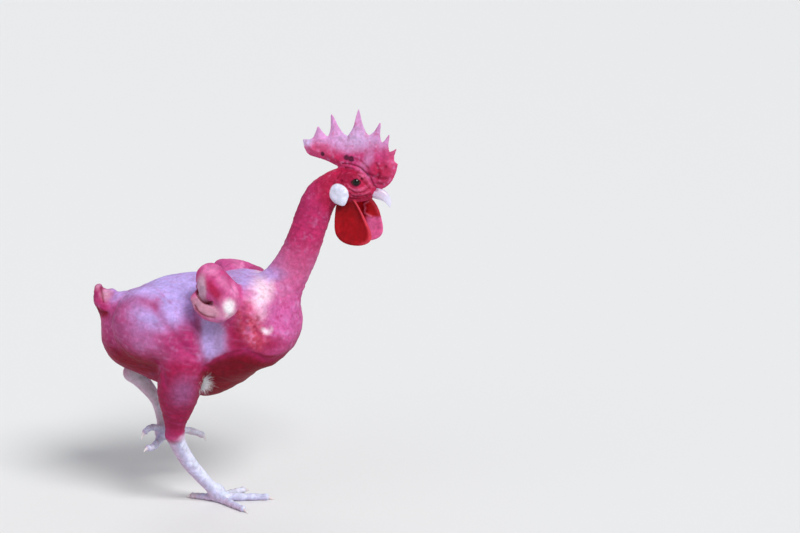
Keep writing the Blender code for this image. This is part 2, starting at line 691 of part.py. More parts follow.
def part_doubles(made):
    """Moves corners that lie on each other apart, each towards the middle of its own neighbours."""
    found = {}
    for vertex in made.verts:
        found.setdefault(tuple(round(c / DOUBLE) for c in vertex.co), []).append(vertex)
    for group in found.values():
        if len(group) < 2:
            continue
        for vertex in group:
            near = [edge.other_vert(vertex).co for edge in vertex.link_edges]
            middle = sum(near, Vector()) / len(near)
            vertex.co = vertex.co + (middle - vertex.co).normalized() * PARTING


def boolean_result(item, tool, operation, solver):
    """Bmesh of one Boolean, with its smallest edges merged."""
    change = item.modifiers.new("cut", "BOOLEAN")
    change.operation = operation
    change.solver = solver
    change.object = tool
    graph = bpy.context.evaluated_depsgraph_get()
    result = bmesh.new()
    result.from_mesh(item.evaluated_get(graph).to_mesh())
    item.modifiers.remove(change)
    bmesh.ops.dissolve_degenerate(result, edges=result.edges, dist=MERGE)
    bmesh.ops.triangulate(result, faces=result.faces[:])
    part_doubles(result)
    return result


def combine(made, cutter, operation):
    """Boolean of two bmeshes, keeping the largest closed surface."""
    item = node("work", made, "skin")
    tool = node("tool", cutter.copy(), "skin")
    tool.hide_render = True
    tool.display_type = "WIRE"
    result = boolean_result(item, tool, operation, "EXACT")
    if not is_closed(result):
        result = boolean_result(item, tool, operation, "MANIFOLD")
    for used in (item, tool):
        mesh = used.data
        bpy.data.objects.remove(used)
        bpy.data.meshes.remove(mesh)
    keep_largest(result)
    return result


def ring_mesh(rings, cap_start=True, cap_end=True):
    """Bmesh through rings of points, the same number in each, with flat or pointed ends."""
    made = bmesh.new()
    rows = [[made.verts.new(p) for p in ring] for ring in rings]
    for lower, upper in zip(rows[:-1], rows[1:]):
        count = max(len(lower), len(upper))
        for i in range(count):
            j = (i + 1) % count
            if len(lower) == 1:
                made.faces.new((lower[0], upper[j], upper[i]))
            elif len(upper) == 1:
                made.faces.new((lower[i], lower[j], upper[0]))
            else:
                made.faces.new((lower[i], lower[j], upper[j], upper[i]))
    if cap_start and len(rows[0]) > 1:
        made.faces.new(rows[0][::-1])
    if cap_end and len(rows[-1]) > 1:
        made.faces.new(rows[-1])
    bmesh.ops.recalc_face_normals(made, faces=made.faces)
    return made


def oval_mesh(centre, radii, pitch, segments, rings):
    """Closed ellipsoid whose long axis is pitched up."""
    made = bmesh.new()
    bmesh.ops.create_uvsphere(made, u_segments=segments, v_segments=rings, radius=1.0)
    for vertex in made.verts:
        x, y, z = (vertex.co[i] * radii[i] for i in range(3))
        turned = (x * math.cos(pitch) - z * math.sin(pitch), y, x * math.sin(pitch) + z * math.cos(pitch))
        vertex.co = Vector(centre) + Vector(turned)
    return made


def tube_mesh(path, radius, sides):
    """Closed round tube along a path."""
    rings = []
    for i, point in enumerate(path):
        tangent = Vector(path[min(i + 1, len(path) - 1)]) - Vector(path[max(i - 1, 0)])
        across = tangent.cross(Vector((0.0, 0.0, 1.0))).normalized()
        up = across.cross(tangent).normalized()
        rings.append([Vector(point) + radius * (across * math.cos(a) + up * math.sin(a))
                      for a in (2 * math.pi * k / sides for k in range(sides))])
    return ring_mesh(rings)


# Cuts between the nodes

def hock_cut(side):
    """Cut square to the bend between the drumstick and the shank."""
    ball, hock, _ = foot_frame(side)
    tibia = RIGHT_TIBIA if side < 0 else LEFT_TIBIA
    down = (ball - hock) / np.linalg.norm(ball - hock)
    back_up = np.subtract(tibia[-3][:3], hock)
    facing = down - back_up / np.linalg.norm(back_up)
    facing = facing / np.linalg.norm(facing)
    return hock + facing * HOCK_CUT_DROP, facing


def away(cut):
    """The same cut seen from its other side."""
    return cut[0], tuple(-np.asarray(cut[1]))


def on_side(box, side):
    """The left side's box, or its mirror image."""
    (low_x, low_y, low_z), (high_x, high_y, high_z) = box
    low_y, high_y = sorted((side * low_y, side * high_y))
    return (low_x, low_y, low_z), (high_x, high_y, high_z)


def build_torso(leg_cutters):
    made = bmesh_from(*faceted_skin(body_field, *TORSO_BOX, TRUNK_CELL))
    made = thinned(made, THINNING)
    keep_behind(made, *NECK_CUT)
    keep_behind(made, *TAIL_CUT)
    for side in (RIGHT, LEFT):
        made = combine(made, grown(leg_cutters[side], GAP), "DIFFERENCE")
    return made


def build_leg_cutter(side):
    """The volume that the leg takes out of the body's flesh."""
    def field(points):
        return leg_field(points, side) - LEG_MARGIN
    return bmesh_from(*faceted_skin(field, *on_side(LEG_BOXES[side], side), CUTTER_CELL))


def build_leg(side, cutter):
    name = "right" if side < 0 else "left"
    flesh = bmesh_from(*faceted_skin(body_field, *on_side(THIGH_BOX, side), THIGH_CELL))
    flesh = thinned(flesh, THINNING)
    keep_behind(flesh, *KNEE_CUTS[side])
    node("thigh_" + name, combine(flesh, cutter, "INTERSECT"), "skin")

    def lower_field(points):
        return blend(body_field(points), shank_field(points, side), TOE_FILLET)
    flesh = bmesh_from(*faceted_skin(lower_field, *on_side(DRUMSTICK_BOX, side), DRUMSTICK_CELL))
    flesh = thinned(flesh, THINNING)
    keep_behind(flesh, *away(KNEE_CUTS[side]))
    keep_behind(flesh, *hock_cut(side))
    node("drumstick_" + name, combine(flesh, cutter, "INTERSECT"), "skin")

    ball, hock, _ = foot_frame(side)
    low = np.minimum(ball, hock) - SHANK_BOX_MARGIN
    high = np.maximum(ball, hock) + SHANK_BOX_MARGIN

    def shank_and_hock(points):
        return blend(shank_field(points, side), leg_field(points, side), TOE_FILLET)
    shank = bmesh_from(*faceted_skin(shank_and_hock, low, high, SHANK_CELL))
    shank = thinned(shank, FINE_THINNING)
    keep_behind(shank, *away(hock_cut(side)))
    if side < 0:
        keep_behind(shank, (0.0, 0.0, FLOOR - GAP / 2), (0.0, 0.0, -1.0))
    keep_largest(shank)
    for toe_name in TOE_SPECS:
        root, direction = toe_root(side, toe_name)
        start = root - direction * (GAP / 2)
        radius = TOE_SPECS[toe_name][1] + TOE_MARGIN
        beyond = tube_mesh((start, start + direction * TOE_CLEARANCE), radius, 12)
        shank = combine(shank, beyond, "DIFFERENCE")
    node("shank_" + name, shank, "shank")


def toe_root(side, name):
    """Centre of a toe's root and the toe's direction there."""
    ball, _, toes = foot_frame(side)
    direction, _ = toes[name]
    start = ball + direction * TOE_START
    if side < 0:
        start[2] = TOE_SPECS[name][1] + FLOOR
    return start, direction


def digit_ring(centre, heading, sideways, radius, flatness=1.0):
    """Ring of points round a toe or claw, at right angles to its heading."""
    above = np.cross(heading, sideways)
    ring = []
    for k in range(TOE_SIDES):
        angle = 2 * math.pi * (k + 0.5) / TOE_SIDES
        point = centre + radius * (math.cos(angle) * flatness * sideways + math.sin(angle) * above)
        ring.append(point)
    return ring


def on_floor(ring):
    """The ring with what lies below the floor pressed flat on it."""
    return [(x, y, max(z, FLOOR)) for x, y, z in ring]


def build_toe(side, name):
    """Toe with its knuckles, and the claw at its end."""
    standing = side < 0
    label = ("right_" if standing else "left_") + name
    length, root_radius, end_radius = TOE_SPECS[name]
    centre, direction = toe_root(side, name)
    curl = foot_frame(side)[2][name][1]
    sideways = np.cross((0.0, 0.0, 1.0), direction)
    sideways = sideways / np.linalg.norm(sideways)
    upward = np.cross(direction, sideways)

    def heading(turn):
        return direction * math.cos(turn) - upward * math.sin(turn)

    rings = []
    centre = centre + direction * GAP / 2
    for i in range(TOE_RINGS):
        t = i / (TOE_RINGS - 1)
        if i:
            centre = centre + heading(curl * t) * length / (TOE_RINGS - 1)
        radius = root_radius + (end_radius - root_radius) * t
        if 0 < i < TOE_RINGS - 1:
            radius *= 1.0 + KNUCKLE_SWELL * math.cos(6 * math.pi * t)
        drop = np.array([0.0, 0.0, (root_radius - end_radius) * t if standing else 0.0])
        ring = digit_ring(centre - drop, heading(curl * t), sideways, radius)
        rings.append(on_floor(ring) if standing else ring)
    node("toe_" + label, ring_mesh(rings), "shank")

    tip = centre - drop + heading(curl) * GAP
    claw = []
    for i in range(CLAW_RINGS):
        t = i / (CLAW_RINGS - 1)
        turn = curl + CLAW_CURVE * t
        if i:
            tip = tip + heading(turn) * CLAW_LENGTH / (CLAW_RINGS - 1)
        ring = digit_ring(tip, heading(turn), sideways, CLAW_RADIUS * (1.0 - 0.85 * t), CLAW_NARROWING)
        claw.append(on_floor(ring) if standing else ring)
    node("claw_" + label, ring_mesh(claw), "claw")


def build_wing(side, torso):
    def field(points):
        return wing_field(points, side)
    name = "right" if side < 0 else "left"
    wing = bmesh_from(*faceted_skin(field, *on_side(WING_BOX, side), WING_CELL))
    wing = combine(wing, grown(torso, GAP), "DIFFERENCE")
    node("wing_" + name, wing, "skin")


def lid_mesh(side):
    """Ring of the lids round one eye's axis."""
    axis = Vector((EYE_AXIS_AHEAD, side, EYE_AXIS_UP)).normalized()
    centre = Vector((EYE_CENTRE[0], side * EYE_CENTRE[1], EYE_CENTRE[2]))
    centre += axis * math.sqrt(EYE_RADIUS ** 2 - LID_RING ** 2)
    across = axis.cross(Vector((0.0, 0.0, 1.0))).normalized()
    up = across.cross(axis)
    made = bmesh.new()
    rows = []
    for i in range(LID_SEGMENTS):
        angle = 2 * math.pi * i / LID_SEGMENTS
        outward = across * math.cos(angle) + up * math.sin(angle)
        row = []
        for k in range(LID_SIDES):
            turn = 2 * math.pi * k / LID_SIDES
            reach = LID_RING + LID_THICKNESS * math.cos(turn)
            row.append(made.verts.new(centre + outward * reach + axis * LID_THICKNESS * math.sin(turn)))
        rows.append(row)
    for i, row in enumerate(rows):
        after = rows[(i + 1) % LID_SEGMENTS]
        for k in range(LID_SIDES):
            j = (k + 1) % LID_SIDES
            made.faces.new((row[k], after[k], after[j], row[j]))
    bmesh.ops.recalc_face_normals(made, faces=made.faces)
    return in_head(made)


def build_head():
    """Head with its lids fused on, and the sockets, ears and corners of the mouth cut in."""
    low, high = np.array(HEAD_CENTRE) + HEAD_BOX
    made = bmesh_from(*faceted_skin(head_field, low, high, HEAD_CELL))
    made = thinned(made, FINE_THINNING)
    keep_behind(made, *away(HEAD_CUT))
    keep_largest(made)
    for side in (RIGHT, LEFT):
        mirror = np.array([1.0, side, 1.0])
        made = combine(made, lid_mesh(side), "UNION")
        radii = (EYE_RADIUS + GAP,) * 3
        socket = oval_mesh(np.array(EYE_CENTRE) * mirror, radii, 0.0, EYE_SEGMENTS, EYE_RINGS)
        made = combine(made, in_head(socket), "DIFFERENCE")
        ear = oval_mesh(np.array(EAR[0]) * mirror, (EAR[1],) * 3, 0.0, 8, 6)
        made = combine(made, in_head(ear), "DIFFERENCE")
        corner = [np.array(p) * mirror for p in GAPE]
        made = combine(made, in_head(tube_mesh(corner, GAPE_RADIUS, 6)), "DIFFERENCE")
    return made


def in_head(made):
    """Moves a bmesh made in the head's frame to its place."""
    for vertex in made.verts:
        vertex.co = from_head(vertex.co)
    bmesh.ops.recalc_face_normals(made, faces=made.faces)
    return made


def beak_mesh(stations):
    """One half of the beak: rings between its ridge line and its edge line."""
    rows = smooth_curve([(*ridge, *edge, half) for ridge, edge, half in stations], BEAK_STEPS)
    rings = []
    for ridge_x, ridge_z, edge_x, edge_z, half in rows:
        ring = []
        for k in range(BEAK_SIDES):
            angle = 2 * math.pi * k / BEAK_SIDES
            across = math.cos(angle) * half
            rise = math.sin(angle) if math.sin(angle) > 0 else EDGE_ROUNDING * math.sin(angle)
            ring.append((edge_x + (ridge_x - edge_x) * rise, across, edge_z + (ridge_z - edge_z) * rise))
        rings.append(ring)
    return in_head(ring_mesh(rings))


def build_beak(head):
    solid_head = grown(head, GAP)
    upper = combine(beak_mesh(UPPER_BEAK), solid_head, "DIFFERENCE")
    centre, radii, pitch = NOSTRIL
    for side in (RIGHT, LEFT):
        hole = oval_mesh((centre[0], side * centre[1], centre[2]), radii, pitch, 8, 6)
        upper = combine(upper, in_head(hole), "DIFFERENCE")
    lower = combine(beak_mesh(LOWER_BEAK), solid_head, "DIFFERENCE")
    lower = combine(lower, grown(upper, GAP), "DIFFERENCE")
    return upper, lower


def comb_edge():
    """Upper outline of the comb from its rear end to its front: spikes with hollow flanks."""
    corners = [COMB_REAR]
    for spike, valley in zip(COMB_SPIKES, COMB_VALLEYS):
        corners += [spike, valley]
    corners.append(COMB_SPIKES[-1])
    points = []
    for i, (start, end) in enumerate(zip(corners[:-1], corners[1:])):
        axis = np.subtract(end, start)
        hollow = COMB_HOLLOW if i else 0.0
        for t in np.linspace(0.0, 1.0, COMB_STEPS, endpoint=False):
            across = np.array([axis[1], -axis[0]]) * hollow * math.sin(math.pi * t)
            points.append(np.array(start) + axis * t + across)
    points.append(np.array(corners[-1]))
    return np.array(points)


def build_comb(head):
    """Single upright comb: rows from its base out to its spiked edge, on both faces."""
    edge = comb_edge()
    curve = smooth_curve(COMB_BASE, 6)
    lengths = np.concatenate([[0.0], np.cumsum(np.linalg.norm(np.diff(curve, axis=0), axis=1))])
    share = np.linspace(0.0, lengths[-1], len(edge))
    base = np.stack([np.interp(share, lengths, curve[:, i]) for i in (0, 1)], axis=1)
    made = bmesh.new()
    sheets = {}
    for side in (RIGHT, LEFT):
        sheets[side] = []
        for t in COMB_ROWS:
            row = []
            for i, (low, high) in enumerate(zip(base, edge)):
                x, z = low + (high - low) * t
                height = np.linalg.norm(high - low) * t
                fall = max(0.0, 1.0 - height / COMB_THINNING)
                thick = COMB_TIP_THICKNESS + (COMB_ROOT_THICKNESS - COMB_TIP_THICKNESS) * fall
                ends = min(1.0, 0.30 + 4.0 * math.sin(math.pi * i / (len(edge) - 1)))
                rounding = math.sqrt(max(0.05, 1.0 - abs(2.0 * t - 1.0) ** 5))
                row.append(made.verts.new((x, side * 0.5 * thick * ends * rounding, z)))
            sheets[side].append(row)
    right, left = sheets[RIGHT], sheets[LEFT]
    last = len(edge) - 1
    for rows, turned in ((right, False), (left, True)):
        for lower, upper in zip(rows[:-1], rows[1:]):
            for i in range(last):
                quad = (lower[i], lower[i + 1], upper[i + 1], upper[i])
                made.faces.new(quad[::-1] if turned else quad)
    for one, two in ((right[0], left[0]), (right[-1], left[-1])):
        for i in range(last):
            made.faces.new((one[i], one[i + 1], two[i + 1], two[i]))
    for i in (0, last):
        for r in range(len(right) - 1):
            made.faces.new((right[r][i], right[r + 1][i], left[r + 1][i], left[r][i]))
    bmesh.ops.triangulate(made, faces=made.faces[:])
    return combine(in_head(made), grown(head, GAP), "DIFFERENCE")


def wattle_reach(side, down):
    """Share of the wattle's half length at a share of the way down: broad and round below."""
    at_top, gained = WATTLE_SHARES[side]
    width = math.sqrt(max(0.0, 1.0 - abs(2.0 * down - 1.0) ** WATTLE_SQUARENESS))
    return width * (at_top + gained * down)


def build_wattle(side, head, beaks):
    """Hanging wattle: a rounded lobe, hollow on its outer face and splayed outwards."""
    rings = []
    for i in range(WATTLE_RINGS + 1):
        down = (1.0 - math.cos(math.pi * i / WATTLE_RINGS)) / 2.0
        reach = WATTLE_HALF_LENGTH * wattle_reach(side, down)
        thick = WATTLE_HALF_THICKNESS * math.sqrt(max(0.0, 1.0 - (2.0 * down - 1.0) ** 4))
        ring = []
        for k in range(WATTLE_SEGMENTS):
            angle = 2 * math.pi * k / WATTLE_SEGMENTS
            ahead, across = math.cos(angle), math.sin(angle)
            x = WATTLE_START[side] + WATTLE_LEAN[side] * down + reach * ahead
            curl = WATTLE_CUP * (ahead * ahead - 0.5) * math.sin(math.pi * down)
            y = WATTLE_TOP[0] + WATTLE_SPLAY * down + thick * across + curl
            ring.append((x, side * y, WATTLE_TOP[1] - WATTLE_HEIGHT * down))
        rings.append(ring if 0 < i < WATTLE_RINGS else [tuple(np.mean(ring, axis=0))])
    made = combine(in_head(ring_mesh(rings)), grown(head, GAP), "DIFFERENCE")
    for beak in beaks:
        made = combine(made, grown(beak, GAP), "DIFFERENCE")
    return made


def build_earlobe(side, head):
    """White earlobe: a flat almond with its point down."""
    made = oval_mesh((0.0, 0.0, 0.0), EARLOBE_HALF, 0.0, EARLOBE_SEGMENTS, EARLOBE_RINGS)
    c, s = math.cos(EARLOBE_TILT), math.sin(EARLOBE_TILT)
    for vertex in made.verts:
        x, y, z = vertex.co
        low = max(0.0, -z / EARLOBE_HALF[2])
        x *= 1.0 - EARLOBE_POINT * low * low
        vertex.co = (EARLOBE_CENTRE[0] + x * c - z * s, side * (EARLOBE_CENTRE[1] + y),
                     EARLOBE_CENTRE[2] + x * s + z * c)
    return combine(in_head(made), grown(head, GAP), "DIFFERENCE")


def build_eye(side):
    centre = np.array(EYE_CENTRE) * (1.0, side, 1.0)
    return in_head(oval_mesh(centre, (EYE_RADIUS,) * 3, 0.0, EYE_SEGMENTS, EYE_RINGS))


def build():
    clear_scene()
    torso_cutters = {side: build_leg_cutter(side) for side in (RIGHT, LEFT)}
    torso = build_torso(torso_cutters)
    for side in (RIGHT, LEFT):
        build_leg(side, torso_cutters[side])
        build_wing(side, torso)
        for toe_name in TOE_SPECS:
            build_toe(side, toe_name)
    node("torso", torso, "skin")

    tail = bmesh_from(*faceted_skin(body_field, *TAIL_BOX, TAIL_CELL))
    keep_behind(tail, *away(TAIL_CUT))
    keep_largest(tail)
    node("tail", tail, "skin")

    def neck_and_head(points):
        return blend(body_field(points), head_field(points), BLEND_FINE)
    neck = bmesh_from(*faceted_skin(neck_and_head, *NECK_BOX, NECK_CELL))
    keep_behind(neck, *away(NECK_CUT))
    keep_behind(neck, *HEAD_CUT)
    keep_largest(neck)
    node("neck", neck, "neck")

    head = build_head()
    upper, lower = build_beak(head)
    comb = combine(build_comb(head), grown(upper, GAP), "DIFFERENCE")
    for side in (RIGHT, LEFT):
        name = "right" if side < 0 else "left"
        node("wattle_" + name, build_wattle(side, head, (upper, lower)), "wattle")
        node("earlobe_" + name, build_earlobe(side, head), "earlobe")
        node("eye_" + name, build_eye(side), "eye")
    node("comb", comb, "comb")
    node("beak_upper", upper, "beak")
    node("beak_lower", lower, "beak")
    node("head", head, "neck")

    whole = bpy.data.objects.new("rooster", None)
    bpy.context.scene.collection.objects.link(whole)
    whole.location = (-STANDING_BALL[0], -STANDING_BALL[1], 0.0)
    for item in bpy.context.scene.objects:
        if item.type == "MESH":
            item.parent = whole


build()
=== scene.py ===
"""Visual model of the scaleless, featherless rooster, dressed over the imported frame.

Metres, +Z up. The forms are written in the bird's own frame: it faces +X, its right side faces -Y
and y = 0 is its midline. OFFSET moves them into the row's frame, whose origin is the standing sole.
One continuous skin covers body, neck, head, comb, wattles, earlobes, wings, legs and toes.
"""

import math

import bmesh
import bpy
import numpy as np
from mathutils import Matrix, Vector


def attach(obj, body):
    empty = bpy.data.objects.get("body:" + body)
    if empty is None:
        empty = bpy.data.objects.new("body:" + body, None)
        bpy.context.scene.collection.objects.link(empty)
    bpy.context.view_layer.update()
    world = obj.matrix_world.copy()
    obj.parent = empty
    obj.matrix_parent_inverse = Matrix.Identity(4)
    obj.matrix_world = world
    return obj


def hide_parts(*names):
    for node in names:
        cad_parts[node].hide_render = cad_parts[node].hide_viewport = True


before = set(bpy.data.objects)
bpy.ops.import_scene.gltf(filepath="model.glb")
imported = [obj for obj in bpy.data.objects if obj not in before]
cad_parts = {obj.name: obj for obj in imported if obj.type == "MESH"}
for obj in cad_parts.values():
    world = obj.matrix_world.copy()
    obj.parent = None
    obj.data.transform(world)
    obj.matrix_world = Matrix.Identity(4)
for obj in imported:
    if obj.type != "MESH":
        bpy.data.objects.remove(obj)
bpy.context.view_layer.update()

RIGHT = -1.0                      # sign of y on the bird's right side
LEFT = 1.0
SIDE_NAMES = {RIGHT: "right", LEFT: "left"}
FLOOR = 0.0

# trunk: its outline from the side (x, z), from the breast over the back to the belly
TRUNK_CENTRE = (-0.012, 0.226)
TRUNK_OUTLINE = (
    (0.115, 0.232), (0.106, 0.262), (0.078, 0.29), (0.04, 0.302), (-0.015, 0.303),
    (-0.055, 0.298), (-0.093, 0.283), (-0.122, 0.264), (-0.137, 0.238), (-0.128, 0.2),
    (-0.098, 0.176), (-0.055, 0.156), (-0.005, 0.1425), (0.038, 0.16), (0.056, 0.1745),
    (0.064, 0.187), (0.086, 0.1915), (0.107, 0.209),
)
TRUNK_HALF_WIDTH = 0.061
TRUNK_FULLNESS = 2.35             # 2 is an ellipse, more is fuller
KEEL_NARROWING = 0.34             # share of the width that the lowest part loses
REAR_NARROWING = 0.16
KEEL_REACH = 0.08                 # below the trunk's centre, where the narrowing is full
REAR_REACH = 0.12
TRUNK_SLOPE = 4.0                 # least slope taken for the trunk's share when it becomes a distance
SLOPE_STEP = 0.001

# breast muscle, hip and shoulder of each side, crop and abdomen: centre, radii, pitch
BREAST = ((0.05, 0.028, 0.216), (0.056, 0.032, 0.034), 0.42)
CROP = ((0.078, 0.0, 0.243), (0.032, 0.036, 0.034), 0.3)
ABDOMEN = ((-0.098, 0.0, 0.222), (0.036, 0.046, 0.036), 0.0)
HIP = ((-0.056, 0.028, 0.264), (0.046, 0.026, 0.02), 0.22)
SHOULDER = ((0.042, 0.04, 0.268), (0.044, 0.026, 0.03), 0.1)

# neck: centre line and radius fore and aft, narrower across
NECK = (
    (0.064, 0.0, 0.248, 0.044), (0.083, 0.0, 0.275, 0.032), (0.101, 0.0, 0.303, 0.0255),
    (0.1145, 0.0, 0.329, 0.0232), (0.1245, -0.001, 0.355, 0.0222), (0.133, -0.002, 0.38, 0.0218),
    (0.1425, -0.003, 0.4005, 0.021), (0.157, -0.005, 0.4135, 0.019), (0.172, -0.007, 0.418, 0.017),
)
NECK_ACROSS = 0.84

# tail nub
TAIL = (
    (-0.106, 0.0, 0.254, 0.025), (-0.1235, 0.0, 0.259, 0.0178), (-0.1362, 0.0, 0.269, 0.0118),
    (-0.1405, 0.0, 0.2835, 0.0058),
)
TAIL_ACROSS = 1.12
GLAND = ((-0.1265, 0.0, 0.277), (0.008, 0.008, 0.0062), 0.4)

# legs: drumstick from knee to hock, thigh muscle (centre, radii, pitch) and thigh bone
TIBIA = {
    RIGHT: (
        (-0.021, -0.049, 0.212, 0.0255), (-0.031, -0.051, 0.188, 0.028), (-0.037, -0.049, 0.163, 0.0268),
        (-0.04, -0.046, 0.141, 0.0205), (-0.0438, -0.043, 0.119, 0.0138), (-0.045, -0.041, 0.102, 0.0118),
    ),
    LEFT: (
        (-0.004, 0.051, 0.222, 0.0255), (-0.029, 0.05, 0.209, 0.0275), (-0.053, 0.047, 0.197, 0.025),
        (-0.074, 0.042, 0.185, 0.019), (-0.092, 0.038, 0.173, 0.0132), (-0.107, 0.034, 0.163, 0.0118),
    ),
}
THIGH = {
    RIGHT: ((-0.07, -0.045, 0.244), (0.05, 0.031, 0.045), -0.62),
    LEFT: ((-0.062, 0.044, 0.24), (0.052, 0.031, 0.04), -0.36),
}
FEMUR = {
    RIGHT: (
        (-0.07, -0.041, 0.262, 0.026), (-0.044, -0.048, 0.238, 0.028), (-0.021, -0.049, 0.214, 0.0255),
    ),
    LEFT: (
        (-0.06, 0.04, 0.25, 0.025), (-0.032, 0.048, 0.236, 0.027), (-0.004, 0.051, 0.22, 0.0255),
    ),
}
FEMUR_ACROSS = 0.9
TIBIA_ACROSS = 0.92

# shanks, from the hock to the ball of the foot
BALL_HEIGHT = 0.0125
BALL = {RIGHT: (0.003, -0.006, BALL_HEIGHT), LEFT: (-0.066, 0.006, 0.0905)}
OFFSET = Vector((-BALL[RIGHT][0], -BALL[RIGHT][1], 0.0))
HOCK_RADIUS = 0.0118
SHANK_TOP_RADIUS = 0.0102
SHANK_RADIUS = {RIGHT: 0.0096, LEFT: 0.0074}
SHANK_END_RADIUS = 0.008
BALL_RADIUS = 0.0105
SHANK_ACROSS = 0.78
BALL_FILLET = 0.006
TOE_FILLET = 0.004
STUB_LIFT = 0.0012                # how far the standing foot's stubs stay above the floor
SHANK_BOW = {RIGHT: -0.008, LEFT: 0.0125}   # how far its middle stands forward of a straight line

# toes: where each starts from the ball, its length to the claw, and its root and end radius
TOE_START = 0.0135
TOE_STEPS = 8
TOE_SPECS = {
    "back": (0.021, 0.0044, 0.0036),
    "inner": (0.031, 0.005, 0.0038),
    "middle": (0.05, 0.0054, 0.004),
    "outer": (0.04, 0.0049, 0.0037),
}
CLAW_LENGTH = 0.0125
CLAW_RADIUS = 0.0026
CLAW_CURVE = math.radians(42.0)
CLAW_NARROWING = 0.75             # half its width and half its height, as shares of its radius
CLAW_HEIGHT = 1.15
CLAW_FLATNESS = 0.8               # height of its lower half as a share of its upper half
CLAW_POINT = 0.00025
CLAW_SEAT = 0.0015                # how far its base reaches back into the toe
KNUCKLE_SWELL = 0.1
# direction of each toe at its root (ahead, outwards, up) and how much it curls down, in degrees
TOES = {
    RIGHT: {
        "back": ((-0.9397, -0.342, 0.0), 0.0),
        "inner": ((0.6947, -0.7193, 0.0), 0.0),
        "middle": ((0.9986, -0.0523, 0.0), 0.0),
        "outer": ((0.682, 0.7314, 0.0), 0.0),
    },
    LEFT: {
        "back": ((-0.52, -0.62, 0.62), 66.0),
        "inner": ((-0.26, -0.7, -0.46), -50.0),
        "middle": ((0.7, 0.62, -0.05), 28.0),
        "outer": ((0.02, 0.98, -0.12), 40.0),
    },
}

# folded wings: arm from the shoulder over the elbow to the wrist, then the hand back under it,
# the web of skin to the body and the fold between arm and hand
ARM = {
    RIGHT: (
        (0.038, -0.044, 0.28, 0.014), (0.024, -0.058, 0.296, 0.015), (0.011, -0.07, 0.313, 0.016),
        (0.008, -0.075, 0.3115, 0.017), (0.017, -0.078, 0.2985, 0.0175), (0.029, -0.079, 0.2855, 0.013),
    ),
    LEFT: (
        (0.046, 0.044, 0.278, 0.014), (0.032, 0.056, 0.285, 0.0145), (0.015, 0.068, 0.2915, 0.015),
        (0.012, 0.073, 0.2905, 0.016), (0.031, 0.076, 0.2875, 0.0165), (0.053, 0.077, 0.282, 0.0135),
    ),
}
HAND = {
    RIGHT: (
        (0.029, -0.079, 0.2775, 0.013), (0.017, -0.077, 0.2695, 0.0125), (0.001, -0.075, 0.2735, 0.011),
        (-0.0085, -0.074, 0.2868, 0.0082),
    ),
    LEFT: (
        (0.056, 0.077, 0.272, 0.0125), (0.041, 0.076, 0.263, 0.0125), (0.023, 0.074, 0.2635, 0.011),
        (0.009, 0.072, 0.271, 0.008),
    ),
}
WEB = {
    RIGHT: ((0.02, -0.056, 0.286), (0.028, 0.02, 0.02), -0.5),
    LEFT: ((0.03, 0.056, 0.279), (0.03, 0.02, 0.02), -0.2),
}
FOLD = {
    RIGHT: ((0.0015, -0.0692, 0.2975), (0.0125, 0.0098, 0.0165), -0.3),
    LEFT: ((0.016, 0.068, 0.2775), (0.015, 0.009, 0.011), -0.1),
}
WING_ACROSS = 0.72
HAND_FILLET = 0.0035

# head, in its own frame: x ahead, y to the left, z up, turned towards the right side
HEAD_CENTRE = (0.177, -0.007, 0.414)
HEAD_YAW = math.radians(-15.0)
SKULL = ((-0.002, 0.0, 0.0055), (0.0295, 0.018, 0.019), 0.05)
FACE = ((0.013, 0.0, -0.001), (0.021, 0.0155, 0.015), -0.25)
JAW = ((0.002, 0.0, -0.009), (0.024, 0.014, 0.011), 0.12)
BEAK_ROOT = ((0.026, 0.0, -0.0035), (0.011, 0.0088, 0.0085), -0.35)
BROW = ((0.012, 0.0125, 0.017), (0.012, 0.0038, 0.0034), -0.12)
CHEEK = ((0.0, 0.0125, -0.006), (0.0105, 0.006, 0.0075), 0.0)

EYE_CENTRE = (0.0128, 0.0104, 0.0082)
EYE_RADIUS = 0.0068
EYE_AXIS_AHEAD = 0.26             # how far each eye looks ahead of straight sideways
EYE_AXIS_UP = 0.06
EYE_BULGE = 0.045                 # rise of its clear front, as a share of its radius
EYE_BULGE_REACH = 0.42
LID_DEPTH = 0.0013                # thickness of the lids over the eyeball
LID_FILLET = 0.0022
EYE_OPENING = (0.77, 0.6)         # half angles of the lids' opening, along and across, in radians
EYE_CUT = (0.0025, 0.02)          # the opening is cut between these distances from the eye's centre
SOCKET_ROUNDING = 0.0007
EAR_CENTRE = (-0.0045, 0.0178, 0.01)
EAR_RADIUS = 0.00208
GAPE = ((0.029, 0.0075, -0.007), (0.0215, 0.0115, -0.0068), (0.014, 0.015, -0.008))
GAPE_RADIUS = 0.00096
GAPE_ROUNDING = 0.0012

# beak: stations of (ridge x, z), (edge x, z) and half width, in the head's frame
UPPER_BEAK = (
    ((0.02, 0.0045), (0.021, -0.0052), 0.0082), ((0.033, 0.0018), (0.0325, -0.0082), 0.0072),
    ((0.045, -0.0014), (0.0415, -0.0114), 0.0056), ((0.0525, -0.0082), (0.0475, -0.0156), 0.0042),
    ((0.0553, -0.016), (0.0508, -0.0196), 0.0026), ((0.0542, -0.0236), (0.053, -0.0234), 0.0006),
)
LOWER_BEAK = (
    ((0.02, -0.0108), (0.02, -0.0045), 0.0068), ((0.032, -0.0128), (0.0325, -0.0075), 0.006),
    ((0.0405, -0.0148), (0.0415, -0.0105), 0.0042), ((0.047, -0.0172), (0.0475, -0.014), 0.0016),
)
EDGE_ROUNDING = 0.12
NOSTRIL_CENTRE = (0.036, 0.0062, -0.0015)
NOSTRIL_REACH = (0.0036, 0.004, 0.0015)
NOSTRIL_DEPTH = 0.34              # share of the beak's width that it takes away

